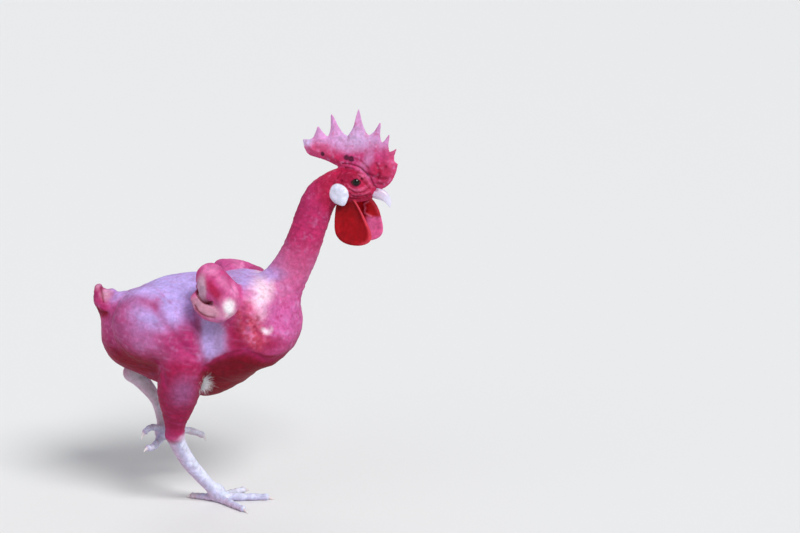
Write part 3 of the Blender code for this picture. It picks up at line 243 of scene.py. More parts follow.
# comb: spikes as (tip x, tip z) and the valley before each, in the head's frame, rear to front
COMB_REAR = (-0.057, 0.0475)
COMB_SPIKES = (
    (-0.0585, 0.058), (-0.039, 0.0755), (-0.0215, 0.092), (0.0135, 0.0985),
    (0.0415, 0.0825), (0.053, 0.068), (0.062, 0.05), (0.0638, 0.031),
)
COMB_VALLEYS = (
    (-0.0475, 0.0595), (-0.0262, 0.0628), (-0.001, 0.0642), (0.0265, 0.0655),
    (0.0432, 0.0572), (0.053, 0.046), (0.059, 0.035),
)
COMB_BASE = (
    (-0.057, 0.0475), (-0.05, 0.0385), (-0.0303, 0.033), (-0.0095, 0.0235), (0.01, 0.013),
    (0.029, 0.0035), (0.044, 0.0), (0.0545, 0.0075), (0.0612, 0.02), (0.0634, 0.029),
)
COMB_ROOT_THICKNESS = 0.0105
COMB_TIP_THICKNESS = 0.0026
COMB_THINNING = 0.08              # height over which it thins from root to tip
COMB_FLARE = 0.075                # how far the flanks of its spikes bend in, as a share of their length
FLARE_PEAK = 0.148                # greatest value of t * t * (1 - t)
COMB_SEAT = 0.006                 # how far the comb's base reaches into the skull
COMB_RIM = 0.001
COMB_WAVE = 0.0011                # sideways waves of the comb, and their pitch ahead and up
COMB_WAVE_PITCH = (95.0, 60.0)
COMB_EDGE = (0.0012, 0.42)        # half thickness at the comb's edge, and how fast it grows inwards
COMB_BOX = (0.008, 0.016)         # room round the comb's outline, and to each side
COMB_FILLET = 0.004

# wattles and earlobes, in the head's frame, written for the left side
WATTLE_TOP = (0.0085, -0.006)     # how far out and up its top is
WATTLE_START = {RIGHT: -0.002, LEFT: 0.0098}   # how far ahead its top is
WATTLE_LEAN = {RIGHT: 0.0165, LEFT: 0.008}   # and how much farther ahead its lower end
WATTLE_HEIGHT = 0.065
WATTLE_HALF_LENGTH = 0.0255
WATTLE_SQUARENESS = 3.2           # 2 makes its outline an ellipse
# of the half length: at the top, and what it gains downwards
WATTLE_SHARES = {RIGHT: (0.42, 0.74), LEFT: (0.76, 0.34)}
WATTLE_HALF_THICKNESS = 0.003
WATTLE_SPLAY = 0.01
WATTLE_CUP = 0.003
WATTLE_HOLLOW = 0.5               # how much thinner the wattle is within its rolled rim
WATTLE_FOLDS = {RIGHT: 0.0008, LEFT: 0.0024}
WATTLE_BOX = ((-0.032, -0.018, -0.008), (0.052, 0.018, 0.008))
WATTLE_FILLET = 0.0022
EARLOBE_CENTRE = (-0.0068, 0.018, -0.0078)
EARLOBE_HALF = (0.012, 0.0032, 0.0146)
EARLOBE_TILT = 0.42
EARLOBE_POINT = 0.45              # share of its width that the lower end loses
LOBE_BOX = 0.022
LOBE_FILLET = 0.001

# widths of the fillets between forms
BLEND_WIDE = 0.022
BLEND_NECK = 0.016
BLEND_LIMB = 0.012
BLEND_HEAD = 0.006
BLEND_FINE = 0.0022
LEG_FILLET = 0.0075
WING_FILLET = 0.004

# cells of the skin's grid, and the cut across the neck where its fine part is joined on
BODY_CELL = 0.003
FINE_CELL = 0.00125
GRID_STRIDE = 4                   # cells between the places of the coarse grid
EVENING_ROUNDS = 3
SETTLING_ROUNDS = 2
BODY_BOX = ((-0.166, -0.104, -0.006), (0.152, 0.104, 0.372))
HEAD_BOX = ((0.084, -0.062, 0.318), (0.256, 0.042, 0.522))
NECK_JOIN = ((0.119, 0.0, 0.341), (0.36, 0.0, 0.93))
JOIN_HALF_WIDTH = 0.0012
FINE_BELOW = 0.112                # feet and shanks are refined once more below this height
CULL = 0.03                       # a form is not evaluated farther than this from it
HEAD_REACH = 0.145                # the head and its comb lie this near to the head's centre
FACE_REACH = 0.1                  # and its wattles, eyes and earlobes this near
FINE_STEP = 0.0004                # step of the slopes taken by forward differences
GROUNDED = 0.0006                 # skin below this height stands on the floor and keeps its form

# noise of the skin
SKIN_SEED = 7
LATTICE_SIZE = 32
FRACTAL_SHIFT = 3.7               # how far each finer round of noise is shifted from the one before
FRACTAL_SCALE = 1.6               # keeps the sum of the rounds near the range from -1 to 1

# tones of the skin, linear red, green and blue
TONES = {
    "rose": (0.45, 0.045, 0.17),
    # lilac is the skin's own tone, and in places on top of the body, the upper flank and the thigh it is
    # partly painted light
    "lilac": (0.48, 0.37, 0.77),
    "flank": (0.38, 0.21, 0.54),
    # pale is the breast's scab, and painted highlights on the breast
    "pale": (0.92, 0.74, 0.84),
    "thigh": (0.5, 0.165, 0.4),
    # magenta is the skin's own tone, and also painted shade along the body's creases
    "magenta": (0.38, 0.02, 0.125),
    "speckle": (0.66, 0.36, 0.66),
    "grey": (0.38, 0.26, 0.5),
    # deep is the belly's own crimson, and painted shade on the underside, under the tail, in creases and
    # beside the wing
    "deep": (0.18, 0.001, 0.01),
    "knee": (0.32, 0.006, 0.055),
    "drum": (0.29, 0.008, 0.058),
    "purple": (0.28, 0.075, 0.2),
    # breast is the crimson of the breast and its spots, partly painted shade low on the breast
    "breast": (0.3, 0.006, 0.05),
    "rash": (0.62, 0.085, 0.135),
    "crop": (0.62, 0.135, 0.39),
    "neck": (0.46, 0.026, 0.125),
    "neck_low": (0.58, 0.155, 0.345),
    "face": (0.44, 0.012, 0.06),
    "face_pink": (0.64, 0.11, 0.24),
    # face_dark makes dark flecks, and painted shade in the eye sockets and in the comb's folds
    "face_dark": (0.27, 0.003, 0.03),
    "comb": (0.55, 0.05, 0.19),
    "comb_pink": (0.58, 0.075, 0.19),
    "comb_front": (0.46, 0.012, 0.06),
    "comb_tip": (0.68, 0.36, 0.68),
    "comb_ice": (0.62, 0.5, 0.78),
    "wattle": (0.31, 0.0004, 0.001),
    "wattle_bright": (0.56, 0.002, 0.008),
    # wattle_dark is painted shade at the near wattle's top; rim is a paler rolled rim, partly painted
    # highlight; rim_pale is a painted highlight along the far wattle's fold
    "wattle_dark": (0.13, 0.0005, 0.0015),
    "rim": (0.66, 0.05, 0.085),
    "rim_pale": (0.86, 0.22, 0.38),
    "far_wattle": (0.8, 0.15, 0.4),
    "lobe": (0.72, 0.76, 0.92),
    "shank": (0.5, 0.5, 0.7),
    # shank_front is partly painted highlight where the shanks face ahead and up
    "shank_front": (0.74, 0.78, 0.92),
    "shank_rear": (0.6, 0.36, 0.5),
    "far_shank": (0.52, 0.47, 0.54),
    "wing": (0.53, 0.055, 0.21),
    "tan": (0.58, 0.34, 0.46),
    # wing_pink makes pink flecks in the rash, and painted highlight streaks on the wings
    "wing_pink": (0.7, 0.22, 0.44),
    "hand": (0.54, 0.27, 0.35),
    # knuckle is the wrist's pale skin with a painted highlight on it
    "knuckle": (0.94, 0.9, 0.94),
    "red": (0.4, 0.008, 0.06),
    "tail": (0.46, 0.03, 0.15),
    "tail_tip": (0.62, 0.3, 0.42),
    # this dark tone makes the comb's scabs, and painted shade round each eye's opening
    "scab_and_lid_shade": (0.02, 0.006, 0.018),
}
# places of the tones on the bird's side: tone, share, softness of the rim,
# (x, z, half length, half height, tilt)
PATCHES = (
    ("flank", 0.8, 0.8, (-0.05, 0.276, 0.066, 0.026, 0.12)),
    ("lilac", 0.9, 0.6, (-0.048, 0.291, 0.062, 0.014, 0.14)),
    # lilac on the upper flank, partly its own tone and partly painted highlight
    ("lilac", 0.8, 0.6, (-0.036, 0.272, 0.022, 0.022, -0.5)),
    ("rose", 0.75, 0.6, (-0.088, 0.268, 0.03, 0.014, 0.35)),
    ("magenta", 0.3, 0.8, (-0.066, 0.279, 0.01, 0.006, 0.0)),
    # lilac on top of the thigh, partly its own tone and partly painted highlight
    ("lilac", 0.8, 0.8, (-0.068, 0.262, 0.022, 0.013, -0.3)),
    ("thigh", 0.8, 0.8, (-0.078, 0.234, 0.038, 0.017, -0.15)),
    ("magenta", 0.6, 0.8, (-0.11, 0.226, 0.018, 0.026, 0.0)),
    ("flank", 0.6, 0.7, (-0.019, 0.262, 0.01, 0.018, 0.1)),
    ("magenta", 0.85, 0.7, (-0.02, 0.23, 0.013, 0.026, 0.15)),
    ("magenta", 0.8, 0.7, (-0.038, 0.226, 0.024, 0.012, -0.6)),
    ("rose", 0.7, 0.6, (-0.024, 0.21, 0.014, 0.01, 0.0)),
    ("crop", 0.8, 0.8, (0.092, 0.25, 0.032, 0.036, 0.0)),
    ("neck_low", 0.8, 0.7, (0.086, 0.29, 0.022, 0.018, 0.5)),
    ("lilac", 0.85, 0.5, (0.066, 0.303, 0.032, 0.01, 0.14)),
    ("crop", 0.9, 0.7, (0.062, 0.272, 0.022, 0.022, 0.0)),
    # painted highlight on the upper breast
    ("pale", 0.98, 0.8, (0.067, 0.287, 0.013, 0.012, 0.0)),
    ("crop", 0.7, 0.8, (0.055, 0.288, 0.01, 0.006, 0.0)),
    # fainter painted highlight lower on the breast
    ("pale", 0.45, 0.9, (0.068, 0.264, 0.008, 0.009, 0.0)),
    ("tail", 0.95, 0.4, (-0.142, 0.268, 0.018, 0.022, 0.0)),
    ("tail_tip", 0.9, 0.7, (-0.1305, 0.2775, 0.0065, 0.006, 0.0)),
    ("tail_tip", 0.6, 0.7, (-0.142, 0.289, 0.004, 0.006, 0.0)),
)
# dark and grey places, laid over the mottling; some of them are painted shade, as marked
DARK_PATCHES = (
    ("grey", 0.98, 0.5, (0.008, 0.234, 0.0165, 0.036, 0.1)),
    ("lilac", 0.5, 0.8, (0.002, 0.228, 0.007, 0.026, 0.05)),
    ("breast", 0.9, 0.7, (0.04, 0.236, 0.012, 0.022, 0.0)),
    # crimson low on the breast, partly its own tone and partly painted shade of its underside
    ("breast", 0.9, 0.7, (0.069, 0.224, 0.027, 0.011, 0.05)),
    # deep under the rear of the belly, partly its own crimson and partly painted shade
    ("deep", 0.9, 0.6, (-0.092, 0.198, 0.044, 0.014, -0.35)),
    ("knee", 0.9, 0.5, (-0.031, 0.19, 0.026, 0.017, 0.0)),
    ("drum", 0.95, 0.3, (-0.037, 0.146, 0.038, 0.042, 0.0)),
    ("purple", 0.9, 0.9, (-0.029, 0.168, 0.014, 0.019, -0.4)),
    # painted shade under the tail
    ("deep", 0.85, 0.6, (-0.137, 0.2555, 0.011, 0.0048, -0.2)),
    # painted shadow of the wing on the breast
    ("deep", 0.75, 0.6, (0.0405, 0.268, 0.004, 0.016, 0.25)),
)
WING_PATCHES = (
    # pale pink streaks on the arm, on both wings: painted highlights
    ("wing_pink", 0.8, 0.8, (0.009, 0.3235, 0.009, 0.005, 0.0)),
    ("wing_pink", 0.55, 0.8, (0.025, 0.309, 0.013, 0.004, -0.9)),
    ("tan", 0.95, 0.4, (-0.0022, 0.3, 0.0068, 0.018, -0.1)),
    ("red", 0.95, 0.6, (0.0145, 0.2995, 0.015, 0.0055, -0.95)),
    ("hand", 0.9, 0.5, (0.007, 0.273, 0.029, 0.0095, -0.45)),
    ("crop", 0.6, 0.7, (0.02, 0.262, 0.014, 0.004, 0.0)),
    # another painted highlight streak at the front of the arm
    ("wing_pink", 0.95, 0.7, (0.0372, 0.2955, 0.0022, 0.0075, 0.3)),
    # the wrist's pale skin with a painted highlight on it, and the pink round it
    ("wing_pink", 0.8, 0.6, (0.0305, 0.277, 0.012, 0.015, 0.0)),
    ("knuckle", 0.99, 0.7, (0.031, 0.2775, 0.006, 0.0095, 0.0)),
)
# painted shade in the gaps where the folded wing's parts meet: (x, z) places, half width and share
WING_LINES = (
    (((-0.0105, 0.2975), (-0.0065, 0.2905), (0.001, 0.283), (0.0075, 0.283)), 0.0012, 0.95),
    (((-0.011, 0.279), (-0.0065, 0.2723), (0.0021, 0.2669), (0.013, 0.265)), 0.0013, 0.75),
)
# upper edge of the belly's dark crimson, partly its own tone and partly painted shade: (x, z) places
BELLY_LINE = (
    (-0.03, 0.175), (-0.012, 0.185), (-0.0029, 0.1971), (0.0098, 0.2067), (0.0224, 0.2131), (0.035, 0.2169),
    (0.0474, 0.2178), (0.066, 0.2129), (0.0846, 0.2063), (0.1065, 0.204), (0.13, 0.2),
)
# the sore, pimpled patch of the breast
RASH = (0.056, 0.249, 0.013, 0.027, 0.3)
RASH_SOFTNESS = 0.8
LINE_REACH = 2.6                  # a line fades out within this many of its half widths
CREASE_START = (0.01, 0.024)      # from the midline, where the body's creases start and are full
# the breast's pale scab, and its front, where crimson shows between pink flecks
SCAB = (0.0735, 0.2405, 0.006, 0.0036, -0.3)
FLECKED_BREAST = (0.098, 0.245, 0.028, 0.048, 0.0)
PALE_HOCK = {RIGHT: 0.006, LEFT: 0.022}   # how far above each hock the skin is already pale
# flecks where a noise is high, and where it is low: tone, share, and where they start and are full
ROW_FLECKS = (("speckle", 0.14, 0.0, 1.2), ("magenta", 0.18, 0.0, 1.2))
BODY_FLECKS = (("speckle", 0.3, 0.25, 1.4), ("magenta", 0.36, 0.25, 1.4))
RASH_FLECKS = (("wing_pink", 0.75, 0.1, 0.8), ("breast", 0.65, 0.1, 0.8))
NECK_FLECKS = (("speckle", 0.2, 0.0, 1.5), ("face_dark", 0.24, 0.1, 1.5))
FACE_FLECKS = (("face_pink", 0.5, 0.2, 1.3), ("face_dark", 0.5, 0.2, 1.3))
COMB_FLECKS = (("comb_tip", 0.34, 0.05, 1.4), ("comb_front", 0.42, 0.15, 1.3))
# on the shanks, the pale front tone is partly painted highlight where they face ahead and up
SHANK_FLECKS = (("shank_front", 0.75, 0.15, 0.8), ("shank_rear", 0.55, -0.25, 0.75))
TONE_ROWS = (0.012, 0.012, 0.003)   # size of the grains in the rows of tone
WING_LINE_DEPTH = 0.0012
NEAR_WING_START = 0.05            # from the midline, where the near wing starts
COMB_PATCHES = (
    ("comb_front", 0.75, 0.9, (-0.0175, 0.037, 0.019, 0.008, -0.4)),
    ("comb_pink", 0.8, 0.9, (-0.038, 0.047, 0.015, 0.01, -0.1)),
    ("comb_front", 0.9, 0.8, (0.043, 0.022, 0.013, 0.012, 0.0)),
    ("comb_front", 0.6, 0.8, (0.047, 0.005, 0.012, 0.005, 0.0)),
    ("comb_ice", 0.9, 0.7, (-0.053, 0.0565, 0.007, 0.005, 0.0)),
    ("comb_ice", 0.6, 0.9, (0.0095, 0.062, 0.019, 0.012, 0.0)),
    ("comb_tip", 0.5, 0.9, (0.025, 0.034, 0.006, 0.013, -0.5)),
)
FACE_PATCHES = (
    # painted shade in the socket behind the eye
    ("face_dark", 0.9, 0.8, (0.0015, 0.012, 0.009, 0.011, 0.0)),
    ("face_dark", 0.6, 0.8, (0.012, -0.0085, 0.014, 0.005, 0.0)),
    ("face_pink", 0.7, 0.8, (0.024, 0.014, 0.012, 0.003, -0.8)),
    ("face_pink", 0.55, 0.8, (0.016, -0.001, 0.011, 0.0026, 0.0)),
)
# raised folds of the face: (x, z) places, half width and height
HEAD_RIDGES = (
    (((-0.004, 0.0274), (0.0045, 0.0269), (0.0134, 0.0243), (0.0209, 0.0186), (0.0268, 0.0112),
      (0.0325, 0.0025)), 0.0015, 0.001),
    (((0.006, 0.003), (0.012, -0.001), (0.02, -0.0008), (0.027, 0.004)), 0.0013, 0.0006),
    (((0.009, -0.0065), (0.02, -0.0072), (0.03, -0.003)), 0.0014, 0.0007),
)
# raised fold of the far wattle: its rise and its places; a pale line along it is a painted highlight
WATTLE_FOLD_RISE = 0.0012
WATTLE_FOLD = ((0.024, -0.018), (0.018, -0.0225), (0.0195, -0.0275), (0.0185, -0.033), (0.026, -0.0375))
# scabs on the comb, in the head's frame: x, z, radius
COMB_SCABS = ((-0.0012, 0.0376, 0.0052), (0.0048, 0.0358, 0.005), (-0.0322, 0.0408, 0.004))
# creases: side (0 for both), (x, z) places, half width and depth; they are also tinted magenta as painted
# shade
CREASES = (
    (RIGHT, ((-0.0097, 0.298), (-0.0055, 0.2905), (-0.0015, 0.2868), (0.0075, 0.282), (0.0105, 0.2838)),
     0.0016, 0.003),
    (0, ((-0.0134, 0.2663), (-0.0095, 0.2485), (-0.0069, 0.2264), (-0.0028, 0.2071), (-0.0007, 0.194)),
     0.0034, 0.0024),
    (0, ((-0.0608, 0.2761), (-0.0514, 0.26), (-0.0424, 0.2492), (-0.0336, 0.2348), (-0.0249, 0.2218),
         (-0.0144, 0.2136)), 0.005, 0.003),
    (0, ((-0.1186, 0.2629), (-0.0975, 0.2808), (-0.0814, 0.2849), (-0.0608, 0.2761)), 0.0045, 0.001),
    (0, ((0.0495, 0.2179), (0.066, 0.2069), (0.0808, 0.2004), (0.0987, 0.205)), 0.0045, 0.0018),
    (0, ((0.0012, 0.201), (0.0244, 0.2113), (0.0495, 0.2163)), 0.004, 0.001),
    (0, ((0.046, 0.273), (0.0488, 0.2536), (0.052, 0.24)), 0.0035, 0.0012),
    (0, ((-0.06, 0.204), (-0.054, 0.192), (-0.052, 0.176)), 0.003, 0.0012),
)
# creases of the tail: (x, z) places, half width and depth; they are also darkened as painted shade
TAIL_CREASES = (
    (((-0.1368, 0.286), (-0.1352, 0.278), (-0.1335, 0.269)), 0.0016, 0.0018),
    (((-0.143, 0.26), (-0.137, 0.256), (-0.129, 0.257)), 0.0022, 0.0018),
)
# folds of the head in its own frame, on both sides: (x, z) places, half width and depth; they are also
# darkened as painted shade
HEAD_CREASES = (
    (((-0.003, 0.025), (0.005, 0.0243), (0.0125, 0.021), (0.019, 0.0155), (0.024, 0.009), (0.03, 0.001)),
     0.0011, 0.0015),
    (((0.003, 0.0185), (0.009, 0.0192), (0.017, 0.016)), 0.0008, 0.0008),
    (((0.005, 0.0), (0.0144, -0.0045), (0.0237, -0.003), (0.029, 0.001)), 0.001, 0.001),
    (((0.004, -0.004), (0.013, -0.0098), (0.026, -0.0082)), 0.0011, 0.001),
    (((0.006, -0.0125), (0.021, -0.0125), (0.031, -0.0075)), 0.0012, 0.0012),
    (((-0.006, 0.0298), (0.004, 0.0292), (0.0137, 0.0268), (0.022, 0.021), (0.029, 0.014), (0.0345, 0.004),
      (0.04, -0.002)), 0.0012, 0.0015),
    (((-0.014, 0.006), (-0.009, 0.014), (-0.006, 0.021)), 0.0012, 0.0006),
)
# folds of the comb's front, in the same terms, also darkened as painted shade
COMB_CREASES = (
    (((0.027, 0.018), (0.034, 0.0147), (0.042, 0.0125), (0.05, 0.013)), 0.002, 0.002),
    (((0.033, 0.003), (0.0389, 0.006), (0.045, 0.0055)), 0.0016, 0.0013),
    (((0.0389, 0.0141), (0.0425, 0.021), (0.049, 0.027)), 0.002, 0.0015),
    (((0.0389, 0.0141), (0.04, 0.023), (0.037, 0.031)), 0.0018, 0.0012),
    (((0.01, 0.037), (0.018, 0.033), (0.027, 0.025)), 0.0016, 0.0009),
)
# bulges of the comb's foot: x, z, radius and rise
COMB_BULGES = (
    (0.044, 0.0205, 0.006, 0.0018), (0.051, 0.0145, 0.0045, 0.0012), (0.03, 0.023, 0.006, 0.0012),
    (0.012, 0.032, 0.0055, 0.001), (-0.01, 0.035, 0.006, 0.0008), (0.034, 0.007, 0.0045, 0.0008),
)
# where the trunk turns into the neck, and the way it rises there
NECK_FOOT = (0.09, 0.0, 0.292)
NECK_RISE = (0.4, 0.0, 0.92)
# layers of the relief: rise, and size of the grains, also along three directions
RELIEF = {
    "roll": (0.0009, 0.03),
    "rows": (0.0003, (0.01, 0.01, 0.004)),
    "bumps": (0.0003, 0.005),
    "belly_rows": (0.00055, (0.01 / 0.7, 0.01 / 0.7, 0.004 / 0.55)),
    "neck_rings": (0.00042, (0.0034, 0.013, 0.026)),
    "neck_grain": (0.00024, 0.0022),
    "face": (0.0004, 0.0048),
    "eye_folds": (0.0005, (0.0017, 1.0 / 2.6, 1.0 / 2.6)),
    "comb_grain": (0.00026, 0.0021),
    "comb_ribs": (0.00035, (0.004, 0.018, 0.02)),
    "comb_roll": (0.0006, 0.009),
    "wattle": (0.00022, 0.005),
    "shank": (0.0001, 0.004),
    "rash": (0.0014, 0.0036),
}
# from the eye's centre, where the folds round it start and end
EYE_FOLDS_START = (0.007, 0.0085)
EYE_FOLDS_END = (0.0115, 0.0165)
# how smooth each part's skin is, next to the plain skin
SMOOTHNESS = {"wattle": 0.55, "comb": 0.35, "shank": 0.25, "lobe": 0.4}
# stops of the eye's colours from the middle of its front outwards
EYE_STOPS = (
    (0.0, (0.002, 0.002, 0.002)), (0.38, (0.003, 0.002, 0.002)), (0.43, (0.1, 0.028, 0.01)),
    (0.6, (0.15, 0.04, 0.012)), (0.72, (0.06, 0.016, 0.008)), (0.82, (0.01, 0.004, 0.004)),
)
DOWN_STOPS = ((0.0, (0.62, 0.58, 0.62)), (1.0, (0.92, 0.9, 0.92)))
BEAK_TONES = ((0.42, 0.2, 0.32), (0.74, 0.72, 0.9))
CLAW_TONES = ((0.6, 0.46, 0.52), (0.74, 0.68, 0.68))

# places and looks of the camera and lights, in the bird's frame
CAMERA_PLACE = (0.2056, -1.9899, 0.7287)
CAMERA_HEADING = math.radians(1.04)
CAMERA_PITCH = math.radians(-11.87)
CAMERA_LENS = 72.0
CAMERA_SENSOR = 36.0
FLOOR_REACH = 60.0
FLOOR_GAP = 0.0002
FLOOR_COLOUR = (0.78, 0.78, 0.77, 1.0)
# each light: name, place that it shines from, strength and spread in degrees
LIGHTS = (
    ("key", (1.2, -1.7, 2.2), 2.5, 24.0),
    ("fill", (-1.9, -1.5, 1.2), 0.3, 50.0),
    ("back", (-0.6, 1.8, 1.9), 0.35, 40.0),
)
WORLD_COLOUR = (0.9, 0.93, 1.0, 1.0)
WORLD_STRENGTH = 0.41

# tuft of down
TUFT_SEED = 11
TUFT_ROOT = (-0.0095, -0.052, 0.172)
TUFT_HEADING = (0.75, -0.45, 0.05)
TUFT_LENGTH = 0.011
TUFT_BARBS = 420
TUFT_ROOT_RADIUS = 0.0028
BARB_RADIUS = 0.0003
FLESH_NODES = (
    "torso", "tail", "neck", "head", "comb", "earlobe_right", "earlobe_left", "wattle_right", "wattle_left",
    "wing_right", "wing_left", "thigh_right", "thigh_left", "drumstick_right", "drumstick_left",
    "shank_right", "shank_left", "toe_right_back", "toe_right_inner", "toe_right_middle", "toe_right_outer",
    "toe_left_back", "toe_left_inner", "toe_left_middle", "toe_left_outer",
)


def blend(a, b, width):
    """Smooth union of two fields, with a fillet about this wide."""
    share = np.clip(0.5 + 0.5 * (b - a) / width, 0.0, 1.0)
    return b * (1.0 - share) + a * share - width * share * (1.0 - share)


def carve(a, b, width):
    """Field a with the form b taken out of it, and the rim rounded."""
    return -blend(-a, b, width)


def eased(t):
    """A soft step from 0 to 1 while t goes from 0 to 1."""
    t = np.clip(t, 0.0, 1.0)
    return t * t * (3.0 - 2.0 * t)


def shares(value, width):
    """1 well inside a form, 0 outside it, with a soft step this wide."""
    return eased(0.5 - value / width)


def steps_between(value, low, high):
    """0 up to low and 1 from high on, with a soft step between them."""
    return eased((value - low) / (high - low))


def ellipsoid(points, centre, radii, pitch=0.0):
    """An ellipsoid whose long axis is pitched up."""
    offset = points - np.asarray(centre)
    c, s = math.cos(pitch), math.sin(pitch)
    along = offset[:, 0] * c + offset[:, 2] * s
    up = -offset[:, 0] * s + offset[:, 2] * c
    local = np.stack([along, offset[:, 1], up], axis=1) / np.asarray(radii)
    reach = np.linalg.norm(local, axis=1)
    slope = np.linalg.norm(local / np.asarray(radii), axis=1)
    return reach * (reach - 1.0) / np.maximum(slope, 1e-9)


def with_forms(field, points, forms, width):
    """A field with ellipsoids blended in."""
    for form in forms:
        field = blend(field, ellipsoid(points, *form), width)
    return field


def both_sides(*forms):
    """Each form and the same form on the other side of the midline."""
    pairs = []
    for centre, *rest in forms:
        pairs += [(centre, *rest), ((centre[0], -centre[1], centre[2]), *rest)]
    return pairs


def smooth_curve(stations, steps):
    """Points of a smooth curve through the stations, the same number in each span."""
    knots = np.asarray(stations, dtype=float)
    padded = np.vstack([2 * knots[0] - knots[1], knots, 2 * knots[-1] - knots[-2]])
    curve = []
    for i in range(1, len(padded) - 2):
        before, start, end, after = padded[i - 1:i + 3]
        for t in np.linspace(0.0, 1.0, steps, endpoint=False):
            curve.append(0.5 * (2 * start + (end - before) * t
                                + (2 * before - 5 * start + 4 * end - after) * t * t
                                + (3 * start - before - 3 * end + after) * t ** 3))
    curve.append(knots[-1])
    return np.array(curve)


def to_segment(points, start, end):
    """Distance of each point to a straight piece, and how far along it its nearest place is."""
    axis = end - start
    offset = points - start
    t = np.clip(offset @ axis / max(axis @ axis, 1e-12), 0.0, 1.0)
    return np.linalg.norm(offset - t[:, None] * axis, axis=1), t


CURVES = {}


def limb(points, stations, across=1.0, steps=3):
    """A tapered limb through stations (x, y, z, radius), flattened from side to side."""
    key = (stations, steps)
    if key not in CURVES:
        CURVES[key] = smooth_curve(stations, steps)
    curve = CURVES[key]
    margin = curve[:, 3].max() + CULL
    low, high = curve[:, :3].min(axis=0) - margin, curve[:, :3].max(axis=0) + margin
    squash = np.array([1.0, 1.0 / across, 1.0])

    def value(close):
        nearest = np.full(len(close), np.inf)
        for start, end in zip(curve[:-1], curve[1:]):
            distance, t = to_segment(close * squash, start[:3] * squash, end[:3] * squash)
            nearest = np.minimum(nearest, distance - start[3] - t * (end[3] - start[3]))
        return nearest
    return near_box(points, low, high, value)


def near_box(points, low, high, function):
    """The function's value near a box, and a large distance elsewhere."""
    field = np.full(len(points), CULL)
    near = np.all((points > low) & (points < high), axis=1)
    if near.any():
        field[near] = function(points[near])
    return field


def outline_reach(steps=8):
    """Angle and distance from the trunk's centre of its side outline."""
    closed = TRUNK_OUTLINE[-1:] + TRUNK_OUTLINE + TRUNK_OUTLINE[:2]
    curve = smooth_curve(closed, steps)[steps:-2 * steps]
    offset = curve - np.array(TRUNK_CENTRE)
    angle = np.arctan2(offset[:, 1], offset[:, 0])
    order = np.argsort(angle)
    return angle[order], np.hypot(offset[:, 0], offset[:, 1])[order]


OUTLINE_ANGLE, OUTLINE_REACH = outline_reach()


def trunk_share(points):
    """Share of the way out to the trunk's surface, 1 on it."""
    ahead = points[:, 0] - TRUNK_CENTRE[0]
    up = points[:, 2] - TRUNK_CENTRE[1]
    reach = np.interp(np.arctan2(up, ahead), OUTLINE_ANGLE, OUTLINE_REACH, period=2 * math.pi)
    low = np.clip(-up / KEEL_REACH, 0.0, 1.0)
    rear = np.clip(-ahead / REAR_REACH, 0.0, 1.0)
    width = TRUNK_HALF_WIDTH * (1.0 - KEEL_NARROWING * low ** 1.6) * (1.0 - REAR_NARROWING * rear ** 2)
    side = np.abs(points[:, 1]) / width
    n = TRUNK_FULLNESS
    return ((np.hypot(ahead, up) / reach) ** n + side ** n) ** (1.0 / n)


def gradient(field, points, step):
    """Slope of a field by central differences."""
    return np.stack([(field(points + step * axis) - field(points - step * axis)) / (2 * step)
                     for axis in np.eye(3)], axis=1)


def forward_slope(field, points, value, step):
    """Slope of a field by forward differences from its value."""
    return np.stack([(field(points + step * axis) - value) / step for axis in np.eye(3)], axis=1)


def torso_field(points):
    """Trunk with its muscles, crop and abdomen, without neck, tail or legs."""
    slope = np.linalg.norm(gradient(trunk_share, points, SLOPE_STEP), axis=1)
    field = (trunk_share(points) - 1.0) / np.maximum(slope, TRUNK_SLOPE)
    return with_forms(field, points, both_sides(BREAST, SHOULDER, HIP) + [CROP, ABDOMEN], BLEND_NECK)


def leg_field(points, side):
    """Thigh and drumstick of one side down to the hock."""
    field = blend(ellipsoid(points, *THIGH[side]), limb(points, FEMUR[side], FEMUR_ACROSS), BLEND_WIDE)
    return blend(field, limb(points, TIBIA[side], TIBIA_ACROSS), BLEND_LIMB)


def foot_frame(side):
    """Ball, hock, and each toe's direction and curl for one foot, in the body's frame."""
    toes = {}
    for name, (direction, curl) in TOES[side].items():
        unit = np.array([direction[0], side * direction[1], direction[2]])
        toes[name] = (unit / np.linalg.norm(unit), math.radians(curl))
    return np.array(BALL[side]), np.array(TIBIA[side][-1][:3]), toes


def to_head(points):
    """World points in the head's own frame."""
    offset = points - np.asarray(HEAD_CENTRE)
    c, s = math.cos(HEAD_YAW), math.sin(HEAD_YAW)
    ahead, left = offset[:, 0], offset[:, 1]
    return np.stack([ahead * c + left * s, -ahead * s + left * c, offset[:, 2]], axis=1)


def from_head(point):
    """A point of the head's frame in the world."""
    c, s = math.cos(HEAD_YAW), math.sin(HEAD_YAW)
    x, y, z = point
    return (HEAD_CENTRE[0] + x * c - y * s, HEAD_CENTRE[1] + x * s + y * c, HEAD_CENTRE[2] + z)


def wing_field(points, side):
    """A folded wing: the arm, the skin that joins it to the body, and the hand beneath."""
    field = blend(limb(points, ARM[side], WING_ACROSS), ellipsoid(points, *WEB[side]), BLEND_HEAD)
    field = blend(field, limb(points, HAND[side], WING_ACROSS), HAND_FILLET)
    return blend(field, ellipsoid(points, *FOLD[side]), HAND_FILLET)


LATTICE = np.random.default_rng(SKIN_SEED).random((LATTICE_SIZE,) * 3)


def noise(points, size):
    """Smooth value noise from -1 to 1, with grains of about this size."""
    scaled = np.asarray(points) / size
    base = np.floor(scaled).astype(int)
    t = eased(scaled - base)
    total = np.zeros(len(scaled))
    for shift in grid_points((2, 2, 2)):
        weight = np.prod(np.where(shift, t, 1.0 - t), axis=1)
        total += weight * LATTICE[tuple(((base + shift) % LATTICE_SIZE).T)]
    return 2.0 * total - 1.0


